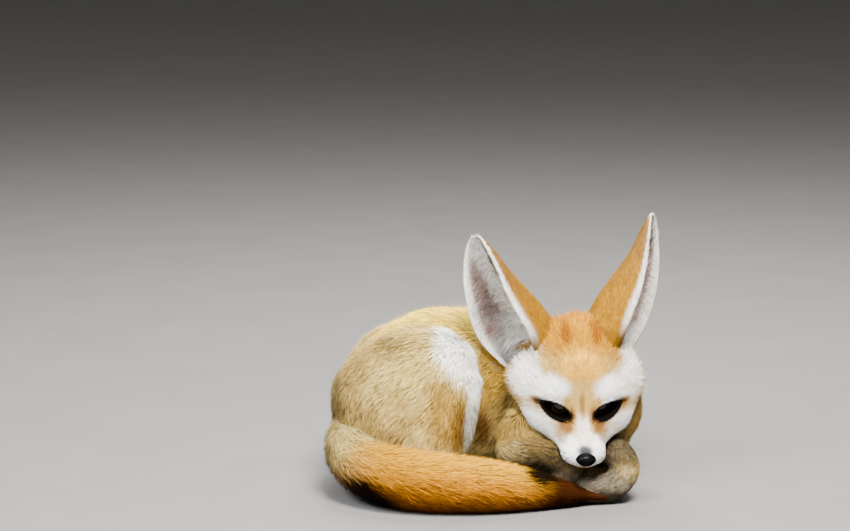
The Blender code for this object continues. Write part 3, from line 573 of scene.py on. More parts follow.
def smooth_rows(rows, steps):
    """A Catmull-Rom curve through rows of numbers, with this many rows to a span."""
    rows = np.array(rows, float)
    ends = np.vstack((2 * rows[0] - rows[1], rows, 2 * rows[-1] - rows[-2]))
    made = []
    for i in range(1, len(ends) - 2):
        before, start, end, after = ends[i - 1 : i + 3]
        for t in np.arange(steps) / steps:
            line = 2 * start + (end - before) * t
            curve = (2 * before - 5 * start + 4 * end - after) * t**2
            twist = (3 * start - before - 3 * end + after) * t**3
            made.append(0.5 * (line + curve + twist))
    return np.vstack((made, rows[-1]))


def bent(value, power):
    """A sine or cosine of a rounder or squarer oval: 2 is an ellipse."""
    return math.copysign(abs(value) ** (2 / power), value)


def sweep(rows, around, steps):
    """A closed loft through sections that stand across its centre line."""
    table = smooth_rows(rows, steps)
    centres = [Vector(row[:3]) for row in table]
    bm = bmesh.new()
    rings = []
    for i, row in enumerate(table):
        ahead = centres[min(i + 1, len(table) - 1)] - centres[max(i - 1, 0)]
        side = ahead.cross(UP).normalized()
        rise = side.cross(ahead).normalized()
        powers = row[6:8] if len(row) > 6 else (2, 2)
        ring = []
        for k in range(around):
            angle = math.tau * k / around
            above = math.sin(angle) > 0
            power = powers[0] if above else powers[1]
            x = row[3] * bent(math.cos(angle), power)
            z = (row[4] if above else row[5]) * bent(math.sin(angle), power)
            ring.append(bm.verts.new((centres[i] + side * x + rise * z) * CM))
        rings.append(ring)
    edges = []
    for ring in rings:
        edges += [bm.edges.new((ring[k], ring[(k + 1) % around])) for k in range(around)]
    for i in range(len(rings) - 1):
        near = edges[i * around : (i + 1) * around]
        far = edges[(i + 1) * around : (i + 2) * around]
        bmesh.ops.bridge_loops(bm, edges=near + far)
    bmesh.ops.holes_fill(bm, edges=edges[:around] + edges[-around:], sides=around)
    return bm


def ball(radius, segments, rings):
    bm = bmesh.new()
    bmesh.ops.create_uvsphere(bm, u_segments=segments, v_segments=rings, radius=radius * CM)
    return in_order(bm)


def gathered(shapes):
    """One bmesh of all the shapes."""
    whole = bmesh.new()
    for shape in shapes:
        mesh = bpy.data.meshes.new("shape")
        shape.to_mesh(mesh)
        whole.from_mesh(mesh)
        bpy.data.meshes.remove(mesh)
    return whole


def head_to_world():
    turn = Euler((HEAD_PITCH, 0, 0)).to_matrix()
    turn = Euler((0, 0, HEAD_YAW)).to_matrix() @ Euler((0, HEAD_ROLL, 0)).to_matrix() @ turn
    return Matrix.Translation(HEAD_PLACE * CM) @ turn.to_4x4()


def eye_frame(side):
    """The place of an eyeball in the head, with its local -Y along the line of sight."""
    place = Vector((side * EYE_SPACING / 2, 0, 0)) * CM
    turn = Euler((-EYE_UPWARD, 0, side * EYE_OUTWARD), "XYZ").to_matrix()
    return Matrix.Translation(place) @ turn.to_4x4()


def lid_slant(side):
    return Matrix.Rotation(side * LID_SLANT, 4, "Y").inverted()


def seen_from(matrix, points):
    """Points in metres brought into a frame, in centimetres."""
    inverse = np.array(matrix.inverted())
    return (points @ inverse[:3, :3].T + inverse[:3, 3]) / CM


def lid_opening(side):
    """The almond between the lids, as a prism along the line of sight."""
    half, above, below = LID_OPENING
    bm = bmesh.new()
    corners = []
    for k in range(LID_CORNERS):
        angle = math.tau * k / LID_CORNERS
        height = above if math.sin(angle) > 0 else below
        z = height * bent(math.sin(angle), ALMOND)
        corners.append(bm.verts.new(Vector((half * math.cos(angle), -2 * EYE_RADIUS, z)) * CM))
    face = bm.faces.new(corners)
    pushed = bmesh.ops.extrude_face_region(bm, geom=[face])["geom"]
    moved = [v for v in pushed if isinstance(v, bmesh.types.BMVert)]
    bmesh.ops.translate(bm, verts=moved, vec=(0, 2 * EYE_RADIUS * CM, 0))
    bmesh.ops.transform(bm, matrix=eye_frame(side) @ lid_slant(side), verts=bm.verts)
    return in_order(bm)


def face_formed(bm):
    """Pushes the swellings and hollows of the face out of the plain loft."""
    for vertex in bm.verts:
        moved = Vector()
        for centre, reach, push in FACE_FORMS:
            for side in (1, -1):
                place = Vector((side * centre[0], centre[1], centre[2])) * CM
                share = math.exp(-(((vertex.co - place).length / (reach * CM)) ** 2))
                moved += Vector((side * push[0], push[1], push[2])) * CM * share
        vertex.co += moved
    return bm


def ear_frame(side):
    """The root of an ear, with +Z to the tip and -Y out of the open side, and the ear's length."""
    root, tip, outward, _ = EARS[side]
    along = (tip - root).normalized()
    open_side = Vector((side * math.sin(outward), -math.cos(outward), 0))
    across = along.cross(open_side).normalized()
    turn = Matrix((across, -across.cross(along), along)).transposed()
    return Matrix.Translation(root * CM) @ turn.to_4x4(), (tip - root).length


def ear_curl(height):
    """How far an ear wraps round at a share of its length, and how far it bows back."""
    wrap = EAR_HOLLOW + EAR_BASE_WRAP * np.maximum(0, 1 - height / EAR_BASE)
    return wrap, EAR_BOW * np.sin(np.pi * np.maximum(0, height))


def ear_shell(side, around=36, steps=4):
    """The cup of an ear: open to the front, closed round at its root and pointed at its tip."""
    matrix, length = ear_frame(side)
    bm = bmesh.new()
    grid = []
    for height, half, depth in smooth_rows(EAR_WIDTHS, steps) * (1, 1, EARS[side][3]):
        wrap, bow = ear_curl(height)
        row = []
        for k in range(around + 1):
            angle = wrap * (2 * k / around - 1)
            x = half * math.sin(angle)
            y = depth * (math.cos(angle) - math.cos(wrap)) / (1 - math.cos(wrap)) - bow
            row.append(bm.verts.new(matrix @ (Vector((x, y, height * length)) * CM)))
        grid.append(row)
    for low, high in zip(grid, grid[1:]):
        for k in range(around):
            bm.faces.new((low[k], low[k + 1], high[k + 1], high[k]))
    bm.normal_update()
    middle = {v: v.co.copy() for v in bm.verts}
    outwards = {v: v.normal.copy() for v in bm.verts}
    # The wall thins out towards the tip and the rims.
    walls = {}
    for i, row in enumerate(grid):
        left = 1 - i / (len(grid) - 1)
        for k, vertex in enumerate(row):
            edge = min(k, around - k) / around
            thin = min(1, 0.3 + left / 0.2) * min(1, 0.55 + edge / 0.12)
            walls[vertex] = EAR_WALL * CM * thin
    turned = bmesh.ops.duplicate(bm, geom=list(bm.faces))
    twin = {v: w for v, w in turned["vert_map"].items() if v in middle}
    for vertex, wall in walls.items():
        vertex.co = middle[vertex] + outwards[vertex] * wall / 2
        twin[vertex].co = middle[vertex] - outwards[vertex] * wall / 2
    rims = [edge for edge in bm.edges if edge.is_boundary]
    bmesh.ops.bridge_loops(bm, edges=rims)
    return bm


def loose_copy(node):
    """A CAD node's mesh brought back to the design's frame, merged and a little swollen."""
    bm = bmesh.new()
    bm.from_mesh(frame["nodes"][node].data)
    bmesh.ops.remove_doubles(bm, verts=bm.verts, dist=0.01 * MM)
    bm.normal_update()
    places = [v.co + v.normal * 0.4 * MM for v in bm.verts]
    for vertex, place in zip(bm.verts, places):
        vertex.co = place
    bmesh.ops.translate(bm, verts=bm.verts, vec=-OFFSET)
    return bm


def fused(name, shapes, voxel, rounds, where):
    """One smooth closed surface over shapes that overlap."""
    made = object_of(name, gathered(shapes), where)
    skin = made.modifiers.new("one skin", "REMESH")
    skin.mode = "VOXEL"
    skin.voxel_size = voxel * MM
    soft = made.modifiers.new("soft creases", "SMOOTH")
    soft.factor = 0.5
    soft.iterations = rounds
    return settle(made)


def averaged(mesh, values, rounds):
    """Values at the vertices, evened out over their neighbours."""
    first, second = read(mesh.edges, "vertices", 2, np.int64).T
    count = len(mesh.vertices)
    flat = values.reshape(count, -1)
    degree = np.bincount(np.append(first, second), minlength=count)[:, None] + 1
    for _ in range(rounds):
        total = flat.copy()
        for column in range(flat.shape[1]):
            total[:, column] += np.bincount(first, flat[second, column], minlength=count)
            total[:, column] += np.bincount(second, flat[first, column], minlength=count)
        flat = total / degree
    return flat.reshape(values.shape)


def regions_at(points):
    """The name of the flesh that each point is nearest to, as an index into REGIONS."""
    found = np.zeros(len(points), np.int64)
    for i, point in enumerate(points):
        place = Vector(point)
        best = 1.0
        for k, name in enumerate(REGIONS):
            distance = TREES[name].find_nearest(place, best)[3]
            if distance is not None and distance < best:
                best = distance
                found[i] = k
    return found


def shares_of(mesh, points, rounds):
    """Each region's share at each vertex, soft where two regions meet."""
    found = regions_at(points)
    table = np.eye(len(REGIONS))[found]
    soft = averaged(mesh, table, rounds)
    return found, {name: soft[:, k] for k, name in enumerate(REGIONS)}


def almond_measure(side, points, stretch=1.0):
    """How far points lie across the opening of an eye: 1 at the edge of its lids. A stretch
    widens it towards its corners."""
    place = seen_from(HEAD @ eye_frame(side) @ lid_slant(side), points)
    half, above, below = LID_OPENING
    height = np.where(place[:, 2] > 0, above, below)
    measure = (place[:, 0] / (half * stretch)) ** 2 + (np.abs(place[:, 2]) / height) ** ALMOND
    return np.where(place[:, 1] < 0.35, measure, 9.0)


def mouth_distance(points):
    """Distance in centimetres from the line of the mouth, for points in the head's frame."""
    folded = mirrored(points)
    nearest = np.full(len(points), 99.0)
    for place in smooth_rows(MOUTH, 8):
        nearest = np.minimum(nearest, np.linalg.norm(folded - place, axis=1))
    return nearest


def ear_measures(side, points):
    """Where points are in an ear: the share of its length, the angle round from the back of its
    cup as a share of its wrap, how far they are from its middle line and how far behind it as
    shares of its wall's distance, and the way out through the wall."""
    matrix, length = ear_frame(side)
    place = seen_from(matrix, points)
    height = place[:, 2] / length
    heights, halves, depths = np.array(EAR_WIDTHS).T
    half = np.interp(height, heights, halves)
    wrap, bow = ear_curl(height)
    reach = np.interp(height, heights, depths) * EARS[side][3] / (1 - np.cos(wrap))
    away = (place[:, 1] + reach * np.cos(wrap) + bow) / reach
    aside = place[:, 0] / half
    turn = side * np.arctan2(aside, away) / wrap
    outward = np.stack((aside / half, away / reach), axis=1)
    return height, turn, np.hypot(aside, away), away, outward


def ear_places(side, points, normals):
    """Where points are on an ear: share of its length, share of the way from the back of the
    cup to a rim (below 0 on the inner rim), and whether they face into the cup."""
    height, turn, across, away, outward = ear_measures(side, points)
    turned = normals @ np.array(ear_frame(side)[0].to_3x3())
    facing = (turned[:, :2] * outward).sum(1)
    # The crease round the outside of the root faces both ways, so there its place decides.
    foot = (height < 0.05) & (away > 0.2)
    inside = (facing < 0) & ((across < 1.03) | (height > 0.22)) & ~foot
    return height, turn, inside


def in_cup(side, points):
    """How far points of the head are inside the open root of an ear."""
    height, _, across, away, _ = ear_measures(side, points)
    start = mixed(-0.14, 0.05, eased(away, 0.0, 0.4))
    return (1 - eased(across, 0.8, 1.0)) * eased(height, start, start + 0.12)


def marked(colours, points, marks, uneven):
    """Colours with soft patches laid over them, with an uneven edge."""
    for place, reach, code, strength in marks:
        distance = np.linalg.norm((points - place) / reach, axis=1) + uneven
        colours = blended(colours, srgb(code), strength * (1 - eased(distance, *MARK_EDGE)))
    return colours


def lie_from(points, guides):
    """The way that the hair points, from the guides near each point."""
    total = np.zeros((len(points), 3))
    for place, way in guides:
        distance = np.linalg.norm(points - place, axis=1)
        total += unit(np.array(way, float)) / (distance[:, None] ** 4 + 0.05)
    return unit(total)


def wavering(points, size, seed):
    """A slow change from place to place, about -1 to 1, with features of a size in centimetres."""
    shift = Vector((seed, seed * 0.7, -seed))
    return np.array([noise.noise(Vector(p) / (size * CM) + shift) for p in points]) * 1.6


def coat_at(points, shares):
    """The five numbers of COAT at each point, from its shares of the regions."""
    aside, back, above = seen_from(HEAD, points).T
    height = points[:, 2] / CM
    muzzle = 1 - eased(back, -2.7, -1.2)
    skull = (1 - muzzle) * eased(back + 0.25 * above, -0.2, 2.0)
    crown = eased(above - 0.5 * np.abs(aside), 0.4, 1.8)
    low_hind = 1 - eased(height, 1.4, 4.6)
    low_fore = 1 - eased(height, 3.6, 5.6)
    parts = {
        "head": {
            "muzzle": muzzle,
            "face": 1 - muzzle - skull,
            "crown": skull * crown,
            "ruff": skull * (1 - crown),
        },
        "torso": {"torso": 1.0},
        "neck": {"neck": 1.0},
    }
    for side in ("left", "right"):
        parts[f"hindleg_{side}"] = {"foot": low_hind, "leg": 1 - low_hind}
        parts[f"foreleg_{side}"] = {"foot": low_fore, "leg": 1 - low_fore}
    made = np.zeros((len(points), 5))
    for name, share in shares.items():
        for row, part in parts.get(name, {}).items():
            made += (share * part)[:, None] * np.array(COAT[row])
    return made


def build_skin(where):
    """The animal's skin, inside the solids by the depth of the coat, with its lids and mouth."""
    bodies = [SHAPES[name] for name in REGIONS if name != "head" and name not in EAR_SIDES]
    body = fused("body", bodies, 1.8, 7, where)
    skull = fused("skull", [SHAPES["head"]], 0.95, 3, where)
    for made in (body, skull):
        points = read(made.data.vertices, "co", 3)
        _, shares = shares_of(made.data, points, 10)
        if made == skull:
            shares = {"head": np.ones(len(points))}
        depth = coat_at(points, shares)[:, 0] * MM
        normals = read(made.data.vertex_normals, "vector", 3)
        inwards = unit(averaged(made.data, normals, 3))
        moved = points - inwards * depth[:, None]
        if made == skull:
            near = mouth_distance(seen_from(HEAD, points)) / MOUTH_WIDTH
            moved -= inwards * (MOUTH_DEPTH * np.exp(-(near**2)))[:, None]
        made.data.vertices.foreach_set("co", moved.ravel())
        made.data.update()
    combine(body, skull, "UNION")
    for name in EAR_SIDES:
        combine(body, object_of("shell", SHAPES[name].copy(), where), "UNION")
    for side in (1, -1):
        lids = (
            (ball(EYE_RADIUS + LID_THICKNESS, 64, 40), (eye_frame(side), HEAD), "UNION"),
            (lid_opening(side), (HEAD,), "DIFFERENCE"),
            (ball(EYE_RADIUS + SOCKET_GAP, 64, 40), (HEAD @ eye_frame(side),), "DIFFERENCE"),
        )
        for bm, matrices, operation in lids:
            for matrix in matrices:
                bmesh.ops.transform(bm, matrix=matrix, verts=bm.verts)
            combine(body, object_of("lids", bm, where), operation)
    body.name = "skin"
    return body


def unwrapped(made):
    """Gives an object a flat layout of its own shape, named for the bake of its looks."""
    made.data.uv_layers.new(name=LAYOUT)
    bpy.context.view_layer.objects.active = made
    made.select_set(True)
    bpy.ops.object.mode_set(mode="EDIT")
    bpy.ops.mesh.select_all(action="SELECT")
    bpy.ops.uv.smart_project(angle_limit=math.radians(66), island_margin=0.001)
    bpy.ops.object.mode_set(mode="OBJECT")
    made.select_set(False)


def ear_colours(side, points, normals, uneven):
    """An ear: tan behind, white round its rims, and pale with a bare band in its cup, with painted
    shade deep in the root of the cup.
    """
    looks = {name: srgb(code) for name, code in EAR_LOOKS.items()}
    height, turn, inside = ear_places(side, points, normals)
    back = blended(looks["back"], looks["back tip"], eased(height + 0.8 * uneven, 0.3, 0.9))
    back *= (1 + 0.14 * wavering(points, 0.3, 4.0))[:, None]
    ragged = turn + 0.6 * uneven
    bare = eased(ragged, 0.45, 0.6) * (1 - eased(ragged, 0.82, 0.94)) * eased(height, 0.2, 0.42)
    bare *= 0.85 * (1 - eased(height, 0.74, 0.92))
    notch = np.exp(-(((height - 0.26) / 0.05) ** 2) - ((turn - 0.84) / 0.12) ** 2)
    cup = blended(looks["inside"], looks["bare"], bare)
    cup = blended(cup, looks["notch"], 0.85 * notch)
    # Painted shade: darker deep in the root of the cup.
    cup = blended(cup, looks["cup_root_shade"], 0.8 * (1 - eased(height, 0.0, 0.14)))
    outer_rim = eased(np.abs(turn), 0.90, 0.97) * eased(height, 0.10, 0.24)
    outer_rim = np.maximum(outer_rim, eased(height + 0.2 * uneven, 0.965, 1.0))
    inner_rim = np.maximum(eased(np.abs(turn), EAR_RIM_STARTS, 0.95), eased(height, 0.94, 0.99))
    ear = np.where(inside[:, None], cup, back)
    return blended(ear, looks["rim"], np.where(inside, inner_rim, outer_rim))


def looks_at(points, normals, shares, found):
    """The colour of the coat over each vertex of the skin, and of the bare skin itself."""
    flat = points / CM
    in_head = seen_from(HEAD, points)
    uneven = 0.1 * wavering(points, 0.4, 7.0) + 0.06 * wavering(points, 0.15, 8.0)
    body = marked(srgb(BASE["body"]), flat, BODY_MARKS_AND_SHADE, uneven)
    legs = sum(share for name, share in shares.items() if "leg" in name)
    low = 1 - eased(flat[:, 2], 3.5, 6.0)
    body = blended(body, marked(body, flat, LEG_MARKS_AND_SHADE, uneven), legs * low)
    head = marked(srgb(BASE["head"]), mirrored(in_head), HEAD_MARKS_AND_SHADE, 0.8 * uneven)
    for side in (1, -1):
        head = blended(head, srgb(EAR_LOOKS["mouth"]), 0.9 * in_cup(side, points))
    coat = blended(body, head, shares["head"])
    for name, side in EAR_SIDES.items():
        ear = ear_colours(side, points, normals, uneven)
        coat = blended(coat, ear, (found == REGIONS.index(name)).astype(float))
    past_lips = mixed(1.0, eased(mouth_distance(in_head), 0.05, 0.11), shares["head"])
    coat = blended(srgb(LIP_LOOK), coat, past_lips)
    for side in (1, -1):
        past_lids = eased(almond_measure(side, points, 1.16), 1.22, 1.55)
        coat = blended(srgb(LID_LOOK), coat, past_lids)
    return coat


def along_skin(ways, normals):
    return unit(ways - normals * (ways * normals).sum(1)[:, None])


def lie_at(mesh, points, normals, shares, found):
    """The way that the hair lies along the skin, at each vertex."""
    body = lie_from(points / CM, BODY_LIE)
    in_head = seen_from(HEAD, points)
    aside = in_head[:, 0]
    head = lie_from(mirrored(in_head), HEAD_LIE)
    head[:, 0] *= np.where(aside < 0, -1.0, 1.0) * np.clip(np.abs(aside) / 0.4, 0, 1)
    head = head @ np.array(HEAD.to_3x3()).T
    way = blended(body, head, shares["head"])
    still = np.zeros(len(points))
    for name, side in EAR_SIDES.items():
        height, turn, inside = ear_places(side, points, normals)
        matrix = np.array(ear_frame(side)[0].to_3x3())
        facing = normals @ matrix
        # In the cup the hair leans from the inner rim across to the outer one, least at the tip.
        around = unit(np.stack((-facing[:, 1], facing[:, 0], still), axis=1) + 1e-9)
        across = mixed(0.4, 2.6, (1 - eased(height, 0.5, 0.95)) * eased(turn, -0.8, -0.3))
        cup = np.array([0, 0, 1]) - side * across[:, None] * around
        back = np.stack((0.25 * side * turn, still, still + 1), axis=1)
        ear = unit(np.where(inside[:, None], cup, back)) @ matrix.T
        way = np.where((found == REGIONS.index(name))[:, None], ear, way)
    return along_skin(unit(averaged(mesh, along_skin(way, normals), 6)), normals)


def tuft_faces(pointed, rings):
    """The triangles of one closed tuft: its root, a point or a ring of three, its other rings and
    its tip, which is the last point."""
    first = 1 if pointed else 0
    faces = [(first + (i + 1) % 3, first + i, 0) for i in range(3)] if pointed else [(0, 2, 1)]
    for k in range(rings - 1):
        for i in range(3):
            a, b = first + 3 * k + i, first + 3 * k + (i + 1) % 3
            faces += [(a, b, b + 3), (a, b + 3, a + 3)]
    last = first + 3 * (rings - 1)
    faces += [(last + i, last + (i + 1) % 3, last + 3) for i in range(3)]
    return np.array(faces)


def tuft_mesh(name, paths, outs, halves, colours, uvs, blend):
    """Closed three-sided spikes as one mesh. A path holds a spike's sections and then its tip.
    The blend is how far its sides turn away from the skin's own normal."""
    pointed = int(halves[0, 0] == 0)
    count, rings = paths.shape[0], paths.shape[1] - 1 - pointed
    ahead = np.empty((count, rings + pointed, 3))
    for k in range(rings + pointed):
        ahead[:, k] = unit(paths[:, k + 1] - paths[:, max(k - 1, 0)])
    side = unit(np.cross(outs[:, None, :], ahead))
    out = unit(np.cross(ahead, side))
    half = halves[:, :, None]

    def listed(starts, rings_of_three, ends):
        """The points of each tuft: its pointed root if it has one, its rings and its tip."""
        spread = rings_of_three.reshape(count, -1, 3)[:, 3 * pointed :]
        return np.concatenate((starts[:, :pointed], spread, ends[:, -1:]), axis=1)

    def each_point(values):
        return listed(values, np.repeat(values[:, :-1], 3, axis=1), values)

    ring = np.stack(
        (
            paths[:, :-1] - side * half - out * half * 0.25,
            paths[:, :-1] + side * half - out * half * 0.25,
            paths[:, :-1] + out * half * 0.45,
        ),
        axis=2,
    )
    points = listed(paths, ring, paths)
    points[:, :, 2] = np.maximum(points[:, :, 2], FLOOR + 0.2 * MM)
    per = points.shape[1]
    faces = tuft_faces(pointed, rings)
    corners = (faces[None] + per * np.arange(count)[:, None, None]).reshape(-1)
    total = len(corners) // 3
    mesh = bpy.data.meshes.new(name)
    mesh.vertices.add(count * per)
    mesh.vertices.foreach_set("co", points.ravel())
    mesh.loops.add(len(corners))
    mesh.loops.foreach_set("vertex_index", corners.astype(np.int32))
    mesh.polygons.add(total)
    mesh.polygons.foreach_set("loop_start", np.arange(total, dtype=np.int32) * 3)
    mesh.update(calc_edges=True)
    mesh.polygons.foreach_set("use_smooth", np.ones(total, bool))
    paint(mesh, each_point(colours).reshape(-1, 3))
    # Each tuft takes a small patch of the layout, round the place of its root on the skin.
    across = [0.0] * pointed + [-1.0, 1.0, 0.0] * rings + [0.0]
    steps = np.linspace(0, 1, paths.shape[1])
    along = np.concatenate((steps[:pointed], np.repeat(steps[pointed:-1], 3), steps[-1:]))
    spot = np.stack((np.array(across) * 0.5, along - 0.5), axis=1) * PATCH
    places = np.clip(uvs[:, None] + spot[None], 0.0005, 0.9995).reshape(-1, 2)
    layout = mesh.uv_layers.new(name=LAYOUT)
    layout.data.foreach_set("uv", places[corners].astype(np.float32).ravel())
    turned = np.stack((-side + 0.3 * out, side + 0.3 * out, out), axis=2)
    turned = listed(out, turned, out)
    soft = unit(outs[:, None] * (1 - blend) + unit(turned) * blend)
    mesh.normals_split_custom_set_from_vertices(soft.reshape(-1, 3).astype(np.float32))
    made = bpy.data.objects.new(name, mesh)
    FOX.objects.link(made)
    return made


def paint(mesh, colours):
    """Keeps a colour for each vertex, for the looks of the hair and the skin."""
    layer = mesh.color_attributes.new(COAT_COLOUR_LAYER, "FLOAT_COLOR", "POINT")
    rows = np.concatenate((colours, np.ones((len(colours), 1))), axis=1)
    layer.data.foreach_set("color", rows.astype(np.float32).ravel())


def clumped(roots, tips, one_in, strength, draw):
    """Draws the tips of neighbouring tufts together, as fur does where it parts into locks."""
    count = max(1, len(roots) // one_in)
    chosen = draw.choice(len(roots), count, replace=False)
    tree = tree_of(roots[chosen])
    leader = chosen[np.array([tree.find(place)[1] for place in roots])]
    reach = np.linalg.norm(roots - roots[leader], axis=1)
    share = strength * draw.uniform(0.5, 1.0, len(roots)) * np.exp(-((reach / LOCK) ** 2))
    target = roots + (tips[leader] - roots[leader]) + (roots[leader] - roots) * 0.8
    return blended(tips, target, share), leader


def pieces_of(name, sections, tufts, blend, look):
    """Makes tufts in as many pieces as they need, and gives them their look. Tufts hold a row
    each: roots, outward ways, tips, rises, half widths, two colours and places in the layout."""
    pointed = sections[0][1] == 0
    most = MOST_TRIANGLES // len(tuft_faces(pointed, len(sections) - pointed))
    in_turn = np.argsort(tufts["roots"][:, 0], kind="stable")
    number = -(-len(in_turn) // most)
    for part, chosen in enumerate(np.array_split(in_turn, number)):
        here = {key: rows[chosen] for key, rows in tufts.items()}
        stations = []
        for share, _, height in sections:
            bulge = here["rises"] * (height - share)
            place = mixed(here["roots"], here["tips"], share)
            stations.append(place + here["outs"] * bulge[:, None])
        stations[0] = stations[0] - here["outs"] * TUFT_SUNK
        stations.append(here["tips"])
        shares = [row[0] for row in sections] + [1.0]
        looks = [mixed(here["root_looks"], here["tip_looks"], min(1, 1.5 * s)) for s in shares]
        piece = tuft_mesh(
            f"{name}_{part + 1}" if number > 1 else name,
            np.stack(stations, axis=1),
            here["outs"],
            here["halves"][:, None] * np.array([row[1] for row in sections])[None],
            np.stack(looks, axis=1),
            here["uvs"],
            blend,
        )
        piece.data.materials.append(look)
        carried(piece)


def carried(piece):
    """Gives a piece its place on the body."""
    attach(piece, "root")
    return piece


def rooted(density, allowed, draw):
    """Random roots over the triangles of the skin: each one's triangle and place in it."""
    corners = SKIN["points"][SKIN["triangles"]]
    first_edge, second_edge = corners[:, 1] - corners[:, 0], corners[:, 2] - corners[:, 0]
    area = np.linalg.norm(np.cross(first_edge, second_edge), axis=1) / 2
    dense = density[SKIN["triangles"]].mean(1)
    wanted = area / CM**2 * dense * allowed[SKIN["triangles"]].min(1)
    number = np.floor(wanted + draw.random(len(wanted))).astype(int)
    triangle = np.repeat(np.arange(len(number)), number)
    first, second = draw.random(len(triangle)), draw.random(len(triangle))
    over = first + second > 1
    first[over], second[over] = 1 - first[over], 1 - second[over]
    return triangle, np.stack((1 - first - second, first, second), axis=1)


def toned(colours, light):
    """Lighter or darker hair: dark hair is the warmer and light hair is the paler."""
    change = np.exp(np.clip(light, -0.8, 0.4)[:, None] * [0.8, 1.0, 1.5])
    return np.clip(colours * change, 0, PALEST)


def grow(name, names, sizes, look, slot, seed, where=1, sections=LONG_TUFT, stray=0.26, one_in=12,
         clump=0.2, tone=0.25, root=0.66, blend=0.42):
    """A coat over the named regions, where it is let. The sizes are its tufts' length, width,
    rise and number at each vertex of the skin."""
    draw = np.random.default_rng(seed)
    inside = np.isin(region_at, [REGIONS.index(region) for region in names])
    triangle, share = rooted(sizes[:, 3], inside * clear * where, draw)

    def at_roots(values):
        return (values[SKIN["triangles"][triangle]] * share[:, :, None]).sum(1)

    roots = at_roots(SKIN["points"])
    outs = unit(at_roots(SKIN["normals"]))
    lie = at_roots(SKIN["lie"])
    here = at_roots(sizes) * MM
    count = len(roots)
    length = here[:, 0] * draw.uniform(*LENGTHS, count)
    width = here[:, 1] * draw.uniform(*WIDTHS, count)
    rise = here[:, 2] * draw.uniform(*RISES, count)
    lie = unit(lie + np.cross(outs, lie) * draw.normal(0, stray, count)[:, None])
    run = np.sqrt(np.maximum(length**2 - rise**2, 0.1 * length**2))
    tips = roots + lie * run[:, None] + outs * rise[:, None]
    tips, leader = clumped(roots, tips, one_in, clump, draw)
    light = tone * (draw.normal(0, 1, count) + LOCK_TONE * draw.normal(0, 1, count)[leader])
    tip_looks = toned(at_roots(SKIN["colours"]), light)
    dark = draw.random(count) < at_roots(SKIN["ticking"])[:, 0]
    tip_looks[dark] = mixed(tip_looks[dark], srgb(TICKED_LOOK), 0.7)
    tufts = {
        "roots": roots,
        "outs": outs,
        "tips": tips,
        "rises": rise,
        "halves": width / 2,
        "root_looks": toned(tip_looks, np.full(count, math.log(root))),
        "tip_looks": tip_looks,
        "uvs": (SKIN["corner_uvs"][triangle] * share[:, :, None]).sum(1),
    }
    pieces_of(name, sections, tufts, blend, look)


def tail_colours(share, outs, places, draw):
    """The brush's colours along the tail and round it: pale at its root, golden above with painted
    light where the hair faces up, rust below with painted shade where it faces down, dark brown at
    its end, with a dark gland patch under the bend that runs into painted shadow there, and a black
    patch above the end."""
    looks = {name: srgb(code) for name, code in TAIL_LOOKS.items()}
    up = outs[:, 2]
    golden = eased(share, 0.2, 0.38)
    made = blended(looks["pale"], looks["golden"], golden)
    # Painted light: where the hair faces up the golden is lightened, over a lighter gold of its own.
    made = blended(made, looks["light"], eased(up, 0.15, 0.9) * 0.8 * golden)
    # Below, the brush's own rust, deepened as painted shade where the hair faces down.
    low = (1 - eased(up, -0.65, 0.4)) * eased(share, 0.02, 0.25)
    made = blended(made, looks["rust"], 0.85 * low)
    made = blended(made, looks["end"], 0.985 * eased(share, 0.66, 0.82))
    for name, place, reach in TAIL_PATCHES:
        ragged = draw.normal(0, 0.16, len(places))
        distance = np.linalg.norm((places - place) / reach, axis=1) + ragged
        made = blended(made, looks[name], 0.99 * (1 - eased(distance, 0.7, 1.15)))
    return made


